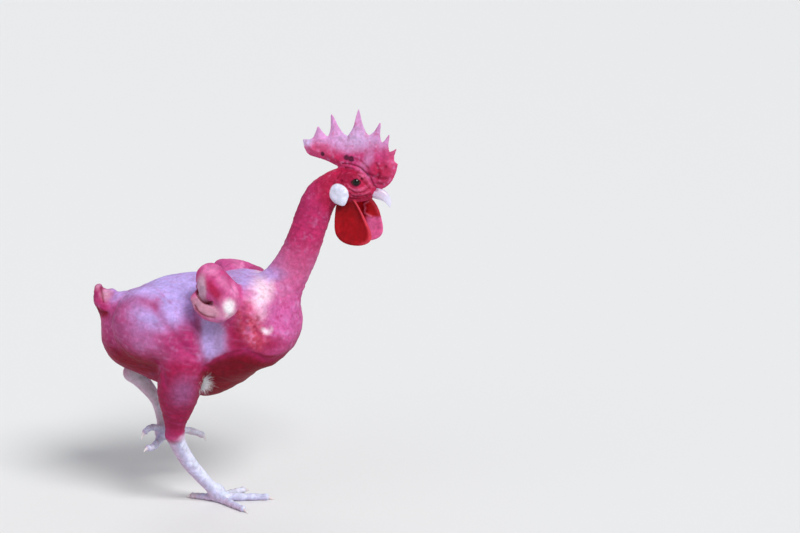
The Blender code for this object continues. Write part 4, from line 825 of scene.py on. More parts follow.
def fractal(points, size, rounds=2):
    """Noise with finer and finer grains."""
    total = sum(noise(points + FRACTAL_SHIFT * step, size / 2 ** step) / 2 ** step for step in range(rounds))
    return total / FRACTAL_SCALE


# Forms of the head, in its own frame

def outline_distance(places, outline):
    """Signed distance of flat points to a closed outline, negative inside."""
    nearest = np.full(len(places), np.inf)
    inside = np.zeros(len(places), dtype=bool)
    x, z = places.T
    for start, end in zip(outline, np.roll(outline, -1, axis=0)):
        nearest = np.minimum(nearest, to_segment(places, start, end)[0])
        run, rise = end - start
        if abs(rise) > 1e-12:
            spans = (start[1] > z) != (end[1] > z)
            inside ^= spans & (x - start[0] < run * (z - start[1]) / rise)
    return np.where(inside, -nearest, nearest)


def comb_edge():
    """Upper outline of the comb from its rear end to its front: spikes whose flanks flare at the valleys."""
    corners = [COMB_REAR]
    for spike, valley in zip(COMB_SPIKES, COMB_VALLEYS):
        corners += [spike, valley]
    corners.append(COMB_SPIKES[-1])
    points = []
    for i, (start, end) in enumerate(zip(corners[:-1], corners[1:])):
        axis = np.subtract(end, start)
        flare = COMB_FLARE if i else 0.0
        for t in np.linspace(0.0, 1.0, 9, endpoint=False):
            from_tip = t if i % 2 else 1.0 - t
            across = np.array([axis[1], -axis[0]]) * flare * from_tip ** 2 * (1.0 - from_tip) / FLARE_PEAK
            points.append(np.array(start) + axis * t + across)
    points.append(np.array(corners[-1]))
    return np.array(points)


def comb_outline():
    """The comb's whole side outline, its base sunk in the skull."""
    base = smooth_curve(COMB_BASE, 4)[::-1]
    seated = steps_between(base[:, 0], -0.012, 0.0) * (1.0 - steps_between(base[:, 0], 0.036, 0.046))
    base[:, 1] -= COMB_SEAT * seated
    return np.vstack([comb_edge(), base[1:-1]])


COMB_OUTLINE = comb_outline()
COMB_FOOT = smooth_curve(COMB_BASE, 4)


def comb_height(local):
    """How far up the comb a point is, 0 at its base and 1 at the tallest tip."""
    foot = np.interp(local[:, 0], COMB_FOOT[:, 0], COMB_FOOT[:, 1])
    return np.clip((local[:, 2] - foot) / COMB_THINNING, 0.0, 1.0)


def comb_field(local):
    """The comb: a sheet that thins upwards, with a rounded rim."""
    def value(p):
        flat = outline_distance(p[:, [0, 2]], COMB_OUTLINE)
        up = comb_height(p)
        half = 0.5 * (COMB_ROOT_THICKNESS + (COMB_TIP_THICKNESS - COMB_ROOT_THICKNESS) * up)
        half = np.minimum(half, COMB_EDGE[0] + COMB_EDGE[1] * np.maximum(-flat, 0.0))
        wave = COMB_WAVE * np.sin(p[:, [0, 2]] @ np.array(COMB_WAVE_PITCH)) * up
        out = flat + COMB_RIM
        side = np.abs(p[:, 1] - wave) - (half - COMB_RIM)
        corner = np.hypot(np.maximum(out, 0.0), np.maximum(side, 0.0))
        return corner + np.minimum(np.maximum(out, side), 0.0) - COMB_RIM
    room, side = COMB_BOX
    low, high = COMB_OUTLINE.min(axis=0) - room, COMB_OUTLINE.max(axis=0) + room
    return near_box(local, (low[0], -side, low[1]), (high[0], side, high[1]), value)


def level_field(level, points, floor):
    """Distance to the surface where level is 1, from its slope."""
    value = level(points)
    slope = np.linalg.norm(forward_slope(level, points, value, FINE_STEP), axis=1)
    return (value - 1.0) / np.maximum(slope, floor)


def wattle_parts(p, side):
    """Share of the way out to the wattle's outline, and height over its middle sheet."""
    down = (WATTLE_TOP[1] - p[:, 2]) / WATTLE_HEIGHT
    inside = np.clip(down, 0.0, 1.0)
    reach = WATTLE_HALF_LENGTH * (WATTLE_SHARES[side][0] + WATTLE_SHARES[side][1] * inside)
    ahead = (p[:, 0] - WATTLE_START[side] - WATTLE_LEAN[side] * inside) / reach
    bowl = np.clip(ahead, -1.2, 1.2) ** 2 - 0.5
    fold = WATTLE_FOLDS[side] * np.sin(6.0 * ahead + 5.0 * inside)
    sheet = WATTLE_TOP[0] + WATTLE_SPLAY * inside + (WATTLE_CUP * bowl + fold) * np.sin(math.pi * inside)
    out = ahead ** 2 + np.abs(2.0 * down - 1.0) ** WATTLE_SQUARENESS
    return out, side * p[:, 1] - sheet


def wattle_field(local, side):
    """One wattle: a hanging sheet with a thicker rim."""
    def level(p):
        out, over = wattle_parts(p, side)
        rolled = 1.0 - WATTLE_HOLLOW + WATTLE_HOLLOW * steps_between(out, 0.45, 0.8)
        return out ** 3 + (over / (WATTLE_HALF_THICKNESS * rolled)) ** 2

    def value(p):
        return level_field(level, p, 0.5 / WATTLE_HALF_THICKNESS)
    middle = side * (WATTLE_TOP[0] + 0.5 * WATTLE_SPLAY)
    low = np.array((WATTLE_START[side], middle, WATTLE_TOP[1] - WATTLE_HEIGHT)) + WATTLE_BOX[0]
    high = np.array((WATTLE_START[side], middle, WATTLE_TOP[1])) + WATTLE_BOX[1]
    return near_box(local, low, high, value)


def lobe_field(local, side):
    """White earlobe: a flat almond with its point down."""
    c, s = math.cos(EARLOBE_TILT), math.sin(EARLOBE_TILT)

    def level(p):
        dx, dz = p[:, 0] - EARLOBE_CENTRE[0], p[:, 2] - EARLOBE_CENTRE[2]
        along, up = dx * c + dz * s, -dx * s + dz * c
        low = np.clip(-up / EARLOBE_HALF[2], 0.0, 1.0)
        x = along / (EARLOBE_HALF[0] * (1.0 - EARLOBE_POINT * low * low))
        y = (side * p[:, 1] - EARLOBE_CENTRE[1]) / EARLOBE_HALF[1]
        z = up / EARLOBE_HALF[2]
        return (x * x + z * z) ** 1.3 + y * y

    def value(p):
        return level_field(level, p, 0.5 / EARLOBE_HALF[1])
    centre = np.array(EARLOBE_CENTRE) * (1.0, side, 1.0)
    return near_box(local, centre - LOBE_BOX, centre + LOBE_BOX, value)


def eye_axes(side):
    """Centre of an eye, the way it looks, and the directions ahead and up across it."""
    centre = np.array(EYE_CENTRE) * (1.0, side, 1.0)
    axis = np.array([EYE_AXIS_AHEAD, side, EYE_AXIS_UP])
    axis /= np.linalg.norm(axis)
    up = np.array([0.0, 0.0, 1.0]) - axis * axis[2]
    up /= np.linalg.norm(up)
    ahead = np.cross(up, axis)
    return centre, axis, ahead * np.sign(ahead[0]), up


def eye_opening(local, side):
    """How far outside the lids' opening a point is, as a share of it: negative in the opening."""
    centre, axis, ahead, up = eye_axes(side)
    offset = local - centre
    depth = offset @ axis
    along = np.arctan2(offset @ ahead, depth)
    rise = np.arctan2(offset @ up, np.maximum(depth, 1e-6))
    return np.where(depth > 0.0, np.hypot(along / EYE_OPENING[0], rise / EYE_OPENING[1]) - 1.0, 2.0)


def eye_carve(local, side):
    """The cone that is cut out of the lids in front of an eye."""
    centre, axis, _, _ = eye_axes(side)
    offset = local - centre
    reach = np.linalg.norm(offset, axis=1)
    cone = eye_opening(local, side) * EYE_OPENING[1] * np.maximum(reach, 0.001)
    return np.maximum(np.maximum(cone, EYE_CUT[0] - offset @ axis), reach - EYE_CUT[1])


def head_flesh(local):
    """Skull, face and comb."""
    value = with_forms(ellipsoid(local, *SKULL), local, (FACE, JAW, BEAK_ROOT), BLEND_HEAD)
    value = with_forms(value, local, both_sides(BROW, CHEEK), BLEND_FINE)
    return blend(value, comb_field(local), COMB_FILLET)


def head_details(local, value):
    """Adds wattles, earlobes and lids to the flesh, and cuts the eyes, mouth and ears."""
    for side in (RIGHT, LEFT):
        mirror = np.array([1.0, side, 1.0])
        value = blend(value, wattle_field(local, side), WATTLE_FILLET)
        value = blend(value, lobe_field(local, side), LOBE_FILLET)
        eye = np.linalg.norm(local - np.array(EYE_CENTRE) * mirror, axis=1)
        value = blend(value, eye - EYE_RADIUS - LID_DEPTH, LID_FILLET)
        value = carve(value, eye_carve(local, side), SOCKET_ROUNDING)
        corner = tuple((x, side * y, z, GAPE_RADIUS) for x, y, z in GAPE)
        value = carve(value, limb(local, corner, 1.0, 2), GAPE_ROUNDING)
        ear = np.linalg.norm(local - np.array(EAR_CENTRE) * mirror, axis=1) - EAR_RADIUS
        value = carve(value, ear, GAPE_ROUNDING)
    return value


def toe_path(side, name):
    """Stations of a toe from inside the ball out to its claw, and the claw's own path."""
    length, root_radius, end_radius = TOE_SPECS[name]
    ball, _, toes = foot_frame(side)
    direction, curl = toes[name]
    standing = side == RIGHT
    sideways = np.cross((0.0, 0.0, 1.0), direction)
    sideways = sideways / np.linalg.norm(sideways)
    upward = np.cross(direction, sideways)

    def heading(share):
        return direction * math.cos(curl * share) - upward * math.sin(curl * share)
    centre = ball + direction * TOE_START
    if standing:
        centre[2] = root_radius
        ball[2] = root_radius + STUB_LIFT
    stations = [(*ball, root_radius)]
    for i in range(TOE_STEPS + 1):
        t = i / TOE_STEPS
        if i:
            centre = centre + heading(t) * length / TOE_STEPS
        radius = root_radius + (end_radius - root_radius) * t
        radius *= 1.0 + KNUCKLE_SWELL * math.cos(6 * math.pi * t)
        drop = (root_radius - end_radius) * t if standing else 0.0
        stations.append((centre[0], centre[1], centre[2] - drop, radius))
    return tuple(stations), (np.array(stations[-1][:3]), heading(1.0), upward, sideways, curl)


TOE_STATIONS = {(side, name): toe_path(side, name)[0] for side in (RIGHT, LEFT) for name in TOE_SPECS}


def foot_field(points, side):
    """Shank, ball and toes of one foot."""
    ball, hock, _ = foot_frame(side)
    stations = []
    for down, radius in ((0.0, HOCK_RADIUS), (0.18, SHANK_TOP_RADIUS), (0.48, SHANK_RADIUS[side]),
                         (0.86, SHANK_END_RADIUS), (1.0, SHANK_END_RADIUS)):
        centre = hock * (1.0 - down) + ball * down
        centre[0] += SHANK_BOW[side] * 4.0 * down * (1.0 - down)
        stations.append((*centre, radius))
    field = limb(points, tuple(stations), SHANK_ACROSS)
    field = blend(field, np.linalg.norm(points - ball, axis=1) - BALL_RADIUS, BALL_FILLET)
    for name in TOE_SPECS:
        field = blend(field, limb(points, TOE_STATIONS[side, name], 1.0, 1), TOE_FILLET)
    return field


def skin_field(points):
    """The whole skin of the bird."""
    field = blend(torso_field(points), limb(points, NECK, NECK_ACROSS), BLEND_NECK)
    tail = with_forms(limb(points, TAIL, TAIL_ACROSS), points, (GLAND,), BLEND_HEAD)
    field = blend(field, tail, BLEND_LIMB)
    for side in (RIGHT, LEFT):
        field = blend(field, leg_field(points, side), LEG_FILLET)
        field = blend(field, foot_field(points, side), TOE_FILLET)
        field = blend(field, wing_field(points, side), WING_FILLET)
    away = np.linalg.norm(points - np.asarray(HEAD_CENTRE), axis=1)
    flesh = np.full(len(points), CULL)
    near = away < HEAD_REACH
    flesh[near] = head_flesh(to_head(points[near]))
    field = blend(field, flesh, BLEND_HEAD)
    near = away < FACE_REACH
    field[near] = head_details(to_head(points[near]), field[near])
    return np.maximum(field, FLOOR - points[:, 2])


# Mesh of the skin

def grid_points(counts):
    """Every place of a grid with these counts, as whole numbers."""
    return np.stack(np.meshgrid(*[np.arange(n) for n in counts], indexing="ij"), axis=-1).reshape(-1, 3)


def sampled(field, low, counts, cell):
    """The field at a grid's corners: everywhere near the surface, and coarsely far from it."""
    blocks = -(-(counts - 1) // GRID_STRIDE)
    coarse = field(low + grid_points(blocks + 1) * cell * GRID_STRIDE).reshape(blocks + 1)
    near = np.abs(coarse) < GRID_STRIDE * cell * 1.9
    busy = np.zeros(tuple(blocks), dtype=bool)
    for shift in grid_points((2, 2, 2)):
        busy |= near[tuple(slice(s, s + n) for s, n in zip(shift, blocks))]
    values, wanted = coarse, busy
    for axis in range(3):
        values = np.repeat(values, GRID_STRIDE, axis=axis)
        wanted = np.repeat(wanted, GRID_STRIDE, axis=axis)
    wide = np.zeros(tuple(n + 1 for n in wanted.shape), dtype=bool)
    for shift in grid_points((2, 2, 2)):
        wide[tuple(slice(s, s + n) for s, n in zip(shift, wanted.shape))] |= wanted
    trim = tuple(slice(0, n) for n in counts)
    values, wide = values[trim].copy(), wide[trim]
    values[wide] = field(low + np.argwhere(wide) * cell)
    return values


def corner_block(values, corner, cells):
    """The values at one corner of every cell."""
    return values[tuple(slice(c, c + n) for c, n in zip(corner, cells))]


def crossing_places(values, cells):
    """Mean place in each cell of where the surface crosses its edges, and which cells it crosses."""
    total = np.zeros((*cells, 3))
    count = np.zeros(tuple(cells))
    for axis, step in enumerate(np.eye(3, dtype=int)):
        for start in grid_points((2, 2, 2)):
            if start[axis]:
                continue
            a, b = corner_block(values, start, cells), corner_block(values, start + step, cells)
            crosses = (a < 0.0) != (b < 0.0)
            t = np.where(crosses, a / np.where(crosses, a - b, 1.0), 0.0)
            total += (start + t[..., None] * step) * crosses[..., None]
            count += crosses
    active = count > 0
    return total[active] / count[active][:, None], active


def crossing_quads(inside, number):
    """A face round each grid edge that the surface crosses, with its front outwards."""
    quads = []
    for axis in range(3):
        here = [slice(1, n - 1) for n in inside.shape]
        here[axis] = slice(0, inside.shape[axis] - 1)
        there = list(here)
        there[axis] = slice(1, inside.shape[axis])
        edges = np.argwhere(inside[tuple(here)] != inside[tuple(there)]) + [s.start for s in here]
        outward = inside[tuple(edges.T)]
        u, v = np.eye(3, dtype=int)[[(axis + 1) % 3, (axis + 2) % 3]]
        round_edge = (edges, edges - u, edges - u - v, edges - v)
        ring = np.stack([number[tuple(cell.T)] for cell in round_edge], axis=1)
        ring[~outward] = ring[~outward][:, ::-1]
        quads.append(ring)
    return np.vstack(quads)


def relaxed(points, quads, field, cell):
    """Evens the points out and moves them onto the field's surface."""
    links = np.vstack([quads[:, [i, (i + 1) % 4]] for i in range(4)])
    links = np.vstack([links, links[:, ::-1]])
    degree = np.bincount(links[:, 0], minlength=len(points))
    for step in range(EVENING_ROUNDS + SETTLING_ROUNDS):
        if step < EVENING_ROUNDS:
            mean = np.zeros_like(points)
            np.add.at(mean, links[:, 0], points[links[:, 1]])
            points = 0.5 * points + 0.5 * mean / degree[:, None]
        value = field(points)
        slope = gradient(field, points, cell * 0.05)
        move = -(value / np.maximum((slope ** 2).sum(axis=1), 0.05))[:, None] * slope
        move[np.linalg.norm(move, axis=1) > cell] = 0.0
        points = points + move
    return points


def faceted_skin(field, low, high, cell):
    """Closed mesh of four-sided faces where the field is zero inside a box."""
    low = np.asarray(low)
    counts = np.ceil((np.asarray(high) - low) / cell).astype(int) + 1
    values = sampled(field, low, counts, cell)
    border = np.ones(counts, dtype=bool)
    border[1:-1, 1:-1, 1:-1] = False
    values[border] = np.maximum(values[border], cell)
    places, active = crossing_places(values, counts - 1)
    number = np.full(active.shape, -1)
    number[active] = np.arange(active.sum())
    points = low + (np.argwhere(active) + places) * cell
    quads = crossing_quads(values < 0.0, number)
    return relaxed(points, quads, field, cell), quads


def bmesh_from(points, faces):
    """An editable mesh of these points and faces."""
    made = bmesh.new()
    vertices = [made.verts.new(p) for p in points]
    for face in faces:
        made.faces.new([vertices[i] for i in face])
    made.faces.ensure_lookup_table()
    return made


def cut_back(points, quads, point, normal):
    """Keeps what lies behind a plane, and gives its triangles and its one open rim in order."""
    made = bmesh_from(points, quads)
    geometry = made.verts[:] + made.edges[:] + made.faces[:]
    bmesh.ops.bisect_plane(made, geom=geometry, plane_co=point, plane_no=normal, clear_outer=True, dist=1e-6)
    bmesh.ops.triangulate(made, faces=made.faces[:])
    keep_largest(made)
    made.verts.index_update()
    places = np.array([v.co[:] for v in made.verts])
    triangles = np.array([[v.index for v in f.verts] for f in made.faces])
    after = {}
    for edge in made.edges:
        if edge.is_boundary:
            loop = edge.link_loops[0]
            after[loop.vert.index] = loop.link_loop_next.vert.index
    start = next(iter(after))
    rim = [start]
    while after[rim[-1]] != start:
        rim.append(after[rim[-1]])
    made.free()
    return places, triangles, rim


def keep_largest(made):
    """Drops every surface but the largest."""
    left = set(made.faces)
    groups = []
    while left:
        group = [left.pop()]
        for face in group:
            for edge in face.edges:
                for other in edge.link_faces:
                    if other in left:
                        left.discard(other)
                        group.append(other)
        groups.append(group)
    groups.sort(key=len)
    for group in groups[:-1]:
        bmesh.ops.delete(made, geom=group, context="FACES")
    loose = [v for v in made.verts if not v.link_faces]
    bmesh.ops.delete(made, geom=loose, context="VERTS")


def around(places, rim, centre, normal):
    """The rim's corners in order of their angle about the cut's axis, with those angles."""
    axis = normal / np.linalg.norm(normal)
    first = np.cross(axis, (0.0, 1.0, 0.0))
    first /= np.linalg.norm(first)
    second = np.cross(axis, first)
    offset = places[rim] - centre
    angle = np.arctan2(offset @ second, offset @ first)
    if np.mean(np.sign(np.diff(angle))) < 0:
        rim, angle = rim[::-1], angle[::-1]
    start = int(np.argmin(angle))
    return list(np.roll(rim, -start)), np.roll(angle, -start)


def stitched(lower, upper, point, normal):
    """One mesh of two whose open rims face each other across a thin gap."""
    places = np.vstack([lower[0], upper[0]])
    shift = len(lower[0])
    first, first_angle = around(places, lower[2], point, normal)
    second, second_angle = around(places, [i + shift for i in upper[2]], point, normal)
    strip = []
    i = j = 0
    while i < len(first) or j < len(second):
        next_i = first_angle[i + 1] if i + 1 < len(first) else first_angle[0] + 2 * math.pi
        next_j = second_angle[j + 1] if j + 1 < len(second) else second_angle[0] + 2 * math.pi
        a, b = first[i % len(first)], second[j % len(second)]
        if j >= len(second) or (i < len(first) and next_i <= next_j):
            strip.append((a, first[(i + 1) % len(first)], b))
            i += 1
        else:
            strip.append((a, second[(j + 1) % len(second)], b))
            j += 1
    strip = np.array(strip)
    a, b, c = (places[strip[:, k]] for k in range(3))
    outward = (np.cross(b - a, c - a) * ((a + b + c) / 3 - point)).sum(axis=1)
    strip[outward < 0] = strip[outward < 0][:, ::-1]
    return places, np.vstack([lower[1], upper[1] + shift, strip])


def settled(points, field):
    """Moves points onto the field's surface."""
    for _ in range(SETTLING_ROUNDS):
        value = field(points)
        slope = forward_slope(field, points, value, FINE_STEP)
        move = -(value / np.maximum((slope ** 2).sum(axis=1), 0.2))[:, None] * slope
        length = np.linalg.norm(move, axis=1, keepdims=True)
        points = points + move * np.minimum(1.0, 0.0012 / np.maximum(length, 1e-9))
    return points


def refined(points, triangles, chosen):
    """Splits each triangle whose corners are all chosen in four, and mends the ones beside them."""
    edges = np.sort(np.vstack([triangles[:, [0, 1]], triangles[:, [1, 2]], triangles[:, [2, 0]]]), axis=1)
    unique, index = np.unique(edges, axis=0, return_inverse=True)
    index = index.reshape(3, -1).T
    marked = chosen[unique[:, 0]] & chosen[unique[:, 1]]
    number = np.full(len(unique), -1)
    number[marked] = len(points) + np.arange(marked.sum())
    fresh = settled(points[unique[marked]].mean(axis=1), skin_field)
    middle = number[index]
    count = (middle >= 0).sum(axis=1)
    a, b, c = triangles.T
    whole = count == 3
    ab, bc, ca = middle[whole].T
    fa, fb, fc = a[whole], b[whole], c[whole]
    faces = [triangles[count == 0], np.stack([fa, ab, ca], 1), np.stack([ab, fb, bc], 1),
             np.stack([ca, bc, fc], 1), np.stack([ab, bc, ca], 1)]
    for k in range(3):
        one = (count == 1) & (middle[:, k] >= 0)
        start, end, far = (triangles[one][:, (k + n) % 3] for n in range(3))
        half = middle[one][:, k]
        faces += [np.stack([start, half, far], 1), np.stack([half, end, far], 1)]
    return np.vstack([points, fresh]), np.vstack(faces)


def normals_of(points, triangles):
    """Normal of the surface at each point."""
    a, b, c = (points[triangles[:, k]] for k in range(3))
    face = np.cross(b - a, c - a)
    total = np.zeros_like(points)
    for k in range(3):
        np.add.at(total, triangles[:, k], face)
    return total / np.maximum(np.linalg.norm(total, axis=1, keepdims=True), 1e-12)


# Folds, wrinkles and colours of the skin

NECK_CURVE = smooth_curve(NECK, 6)[:, :3]
NECK_LENGTHS = np.append(0.0, np.cumsum(np.linalg.norm(np.diff(NECK_CURVE, axis=0), axis=1)))


def along_neck(points):
    """Distance along the neck's centre line of the place on it that is nearest to each point."""
    nearest = np.full(len(points), np.inf)
    along = np.zeros(len(points))
    for i, (start, end) in enumerate(zip(NECK_CURVE[:-1], NECK_CURVE[1:])):
        distance, t = to_segment(points, start, end)
        closer = distance < nearest
        nearest[closer] = distance[closer]
        along[closer] = (NECK_LENGTHS[i] + t * (NECK_LENGTHS[i + 1] - NECK_LENGTHS[i]))[closer]
    return along


def shank_share(points, side):
    """1 on a shank and its toes, 0 on the drumstick."""
    ball, hock, _ = foot_frame(side)
    down = (ball - hock) / np.linalg.norm(ball - hock)
    along = (points - hock) @ down + 0.0045 * fractal(points, 0.009)
    near = np.minimum(foot_field(points, side), np.linalg.norm(points - hock, axis=1) - PALE_HOCK[side])
    return steps_between(along, -PALE_HOCK[side], 0.006) * shares(near - 0.0015, 0.004)


def patch_share(places, patch, softness):
    """1 inside an oval patch of the bird's side, fading to 0 across its rim."""
    x, z, half_length, half_height, tilt = patch
    dx, dz = places[:, 0] - x, places[:, -1] - z
    c, s = math.cos(tilt), math.sin(tilt)
    reach = np.hypot((dx * c + dz * s) / half_length, (-dx * s + dz * c) / half_height)
    return 1.0 - steps_between(reach, 1.0 - softness, 1.0 + softness)


def line_share(places, path, width):
    """1 on a smooth line through the path's places, fading to 0 within about twice this width."""
    curve = smooth_curve(path, 5)
    flat = places[:, [0, -1]]
    reach = LINE_REACH * width
    near = np.all((flat > curve.min(axis=0) - reach) & (flat < curve.max(axis=0) + reach), axis=1)
    close = flat[near]
    nearest = np.full(len(close), np.inf)
    for start, end in zip(curve[:-1], curve[1:]):
        nearest = np.minimum(nearest, to_segment(close, start, end)[0])
    share = np.zeros(len(near))
    share[near] = np.exp(-(nearest / width) ** 2)
    return share


def folded(places, folds):
    """Height of folds that run along lines, each given as its path, half width and height."""
    return sum(rise * line_share(places, path, width) for path, width, rise in folds)


def crease_share(points, side, path, width):
    """1 in a crease of the body, on the side it is on, and 0 near the midline."""
    away = points[:, 1] * side if side else np.abs(points[:, 1])
    return line_share(points, path, width) * steps_between(away, *CREASE_START)


def pimples(points, size):
    """Rounded grains of about this size, from 0 to 1, with gaps between them."""
    return np.clip(0.35 + 0.9 * noise(points, size), 0.0, 1.0) ** 1.5


def belly_share(points):
    """1 on the belly below its line on the bird's side, whose crimson is partly its own tone and partly
    painted shade.
    """
    line = np.interp(points[:, 0], *np.array(BELLY_LINE).T)
    over = points[:, 2] - line + 0.0014 * fractal(points, 0.008)
    return steps_between(points[:, 0], -0.02, 0.0) * (1.0 - steps_between(over, -0.002, 0.0022))


def slanted(points, slope):
    """The points with their height raised in proportion to how far ahead they are."""
    return points + np.outer(points[:, 0], (0.0, 0.0, slope))


def raised(name, places, kind):
    """Height of one named layer of the relief, made by noise of this kind."""
    rise, size = RELIEF[name]
    return rise * kind(places, size)


def relief(points, masks):
    """Height of the skin's folds, wrinkles and grain over its smooth form."""
    local = to_head(points)
    x, y, z = local.T
    head, comb, wattle, lobe, shank = (masks[key] for key in ("head", "comb", "wattle", "lobe", "shank"))
    plain = (1.0 - comb) * (1.0 - wattle) * (1.0 - lobe)
    neck = masks["neck"] * plain
    body = (1.0 - masks["neck"]) * (1.0 - shank)
    rows = slanted(points, 0.3)
    height = raised("roll", points, fractal) * body
    height += (raised("rows", rows, noise) + raised("bumps", points + 2.0, fractal)) * body
    height += raised("belly_rows", rows, noise) * body * belly_share(points)
    rings = np.stack([along_neck(points), points[:, 1], points[:, 2]], axis=1)
    height += raised("neck_rings", rings, noise) * neck * (1.0 - head * 0.7)
    height += raised("neck_grain", points, pimples) * neck * (1.0 - 0.5 * head)
    height += raised("face", points, fractal) * neck * head
    for side in (RIGHT, LEFT):
        centre, _, ahead, up = eye_axes(side)
        reach = np.linalg.norm(local - centre, axis=1)
        turn = np.arctan2((local - centre) @ up, (local - centre) @ ahead)
        folds = np.stack([reach, np.cos(turn), np.sin(turn)], axis=1)
        ring_share = steps_between(reach, *EYE_FOLDS_START) * (1.0 - steps_between(reach, *EYE_FOLDS_END))
        height += raised("eye_folds", folds, noise) * ring_share * (y * side > 0) * plain
    up = masks["comb_height"]
    height += raised("comb_grain", points, pimples) * comb
    height += raised("comb_ribs", np.stack([x, z, y], axis=1), noise) * comb * steps_between(up, 0.1, 0.5)
    height += raised("comb_roll", points + 1.0, fractal) * comb * (1.0 - steps_between(up, 0.2, 0.6))
    height += raised("wattle", points, fractal) * wattle
    height += raised("shank", points, fractal) * shank
    height += raised("rash", points, pimples) * patch_share(points, RASH, RASH_SOFTNESS) * body
    for side, path, width, depth in CREASES:
        height -= depth * crease_share(points, side, path, width) * (1.0 - shank)
    height += WATTLE_FOLD_RISE * line_share(local, WATTLE_FOLD, 0.0016) * wattle * (y > 0.0)
    height += folded(local, HEAD_RIDGES) * head * plain
    for path, width, _ in WING_LINES:
        height -= WING_LINE_DEPTH * line_share(points, path, width) * masks["wing"] * near_wing(points)
    height -= folded(points, TAIL_CREASES)
    near = steps_between(np.abs(y), 0.001, 0.003) * np.maximum(head, comb)
    height -= folded(local, COMB_CREASES) * near
    height -= folded(local, HEAD_CREASES) * near * (1.0 - wattle) * (1.0 - lobe)
    for bulge_x, bulge_z, radius, rise in COMB_BULGES:
        gap = np.hypot(x - bulge_x, z - bulge_z) / radius
        height += rise * np.exp(-gap ** 2) * near
    return height


def near_wing(points):
    """True far enough out on the near side to be on its wing."""
    return points[:, 1] < -NEAR_WING_START


def nearer(form, places):
    """The smaller of a form's two values, one for each side."""
    return np.minimum(form(places, RIGHT), form(places, LEFT))


def skin_masks(points):
    """Share that each part of the bird has in each point."""
    local = to_head(points)
    opening = np.minimum(np.abs(eye_opening(local, RIGHT)), np.abs(eye_opening(local, LEFT)))
    return {
        "neck": steps_between((points - np.array(NECK_FOOT)) @ np.array(NECK_RISE), -0.004, 0.034),
        "head": 1.0 - steps_between(np.linalg.norm(local, axis=1), 0.03, 0.052),
        "comb": shares(comb_field(local) - 0.001, 0.003) * steps_between(local[:, 2], -0.004, 0.006),
        "comb_height": comb_height(local),
        "wattle": shares(nearer(wattle_field, local) - 0.0008, 0.0022),
        "lobe": shares(nearer(lobe_field, local) - 0.0003, 0.0009),
        "shank": np.maximum(shank_share(points, RIGHT), shank_share(points, LEFT)),
        "wing": shares(nearer(wing_field, points) - 0.0012, 0.003),
        "lid": 1.0 - steps_between(opening, 0.06, 0.2),
    }


def even(name, points):
    """One tone for all points."""
    return np.tile(np.array(TONES[name]), (len(points), 1))


def mixed(base, tone, share):
    """The base with a share of a named tone, or of other tones, laid over it."""
    share = np.clip(np.broadcast_to(share, len(base)), 0.0, 1.0)
    other = TONES[tone] if isinstance(tone, str) else tone
    return base + (np.asarray(other) - base) * share[:, None]


def painted(tone, places, patches):
    """Tones with oval patches laid over them."""
    for name, share, softness, patch in patches:
        tone = mixed(tone, name, share * patch_share(places, patch, softness))
    return tone


def lined(tone, places, folds, name, share, widening):
    """Tones with a named one laid along the lines of folds."""
    for path, width, _ in folds:
        tone = mixed(tone, name, share * line_share(places, path, widening * width))
    return tone


def flecked(tone, grain, flecks, within=1.0):
    """One tone laid where the grain is high and another where it is low."""
    for sign, (name, share, start, end) in zip((1.0, -1.0), flecks):
        tone = mixed(tone, name, share * within * steps_between(sign * grain, start, end))
    return tone


def two_grains(places, first, second, share):
    """Noise of one size with a share of noise of another size."""
    return noise(places, first) + share * noise(places, second)


def wattle_tones(local, fine):
    """Deep red, the near wattle darkest at the top with painted shade, a paler rolled rim along the front
    edge that is partly painted highlight, and a painted highlight along the far wattle's fold.
    """
    x, y, z = local.T
    down = np.clip((WATTLE_TOP[1] - z) / WATTLE_HEIGHT, 0.0, 1.0)
    left = y > 0.0
    tone = mixed(even("wattle", local), "wattle_bright", 0.8 * left)
    # painted shade at the near wattle's top
    dark = (1.0 - steps_between(down + 0.06 * fine, 0.1, 0.6)) * (y < 0.0)
    tone = mixed(tone, "wattle_dark", 0.85 * dark)
    # paler rolled rim along each front edge, partly painted highlight
    for side in (RIGHT, LEFT):
        out, _ = wattle_parts(local, side)
        front = steps_between(x - WATTLE_START[side] - WATTLE_LEAN[side] * down, 0.0, 0.012)
        tone = mixed(tone, "rim", 0.8 * steps_between(out, 0.62, 0.95) * front * (y * side > 0.0))
    low = steps_between(-z + 0.0015 * fine, 0.036, 0.041) * steps_between(x, 0.016, 0.024)
    tone = mixed(tone, "far_wattle", 0.75 * low * left)
    # painted highlight along the far wattle's fold
    return mixed(tone, "rim_pale", 0.6 * line_share(local, WATTLE_FOLD, 0.0014) * left)


def comb_tones(local, drift, fine):
    """Crimson and pink low on the comb, lilac on its spikes, redder at the front, with painted shade in the
    folds of its front.
    """
    x, _, z = local.T
    level = z + 0.006 * drift + 0.004 * fine
    tone = mixed(even("comb", local), "comb_tip", 0.85 * steps_between(level, 0.04, 0.06))
    tone = mixed(tone, "comb_pink", 0.75 * steps_between(x - 0.3 * z, 0.03, 0.046))
    tone = painted(tone, np.stack([x + 0.003 * fine, z + 0.003 * drift], axis=1), COMB_PATCHES)
    # painted shade in the folds of the comb's front
    tone = lined(tone, local, COMB_CREASES, "face_dark", 0.45, 1.2)
    return flecked(tone, two_grains(local, 0.0026, 0.0052, 0.7), COMB_FLECKS)


def face_tones(local, fine):
    """Crimson of the face with pink wrinkles, and painted shade in the socket behind each eye."""
    shifted = np.stack([local[:, 0] + 0.002 * fine, local[:, 2]], axis=1)
    tone = painted(even("face", local), shifted, FACE_PATCHES)
    tone = flecked(tone, two_grains(local, 0.0022, 0.005, 0.8), FACE_FLECKS)
    return lined(tone, local, HEAD_RIDGES, "face_pink", 0.55, 0.8)


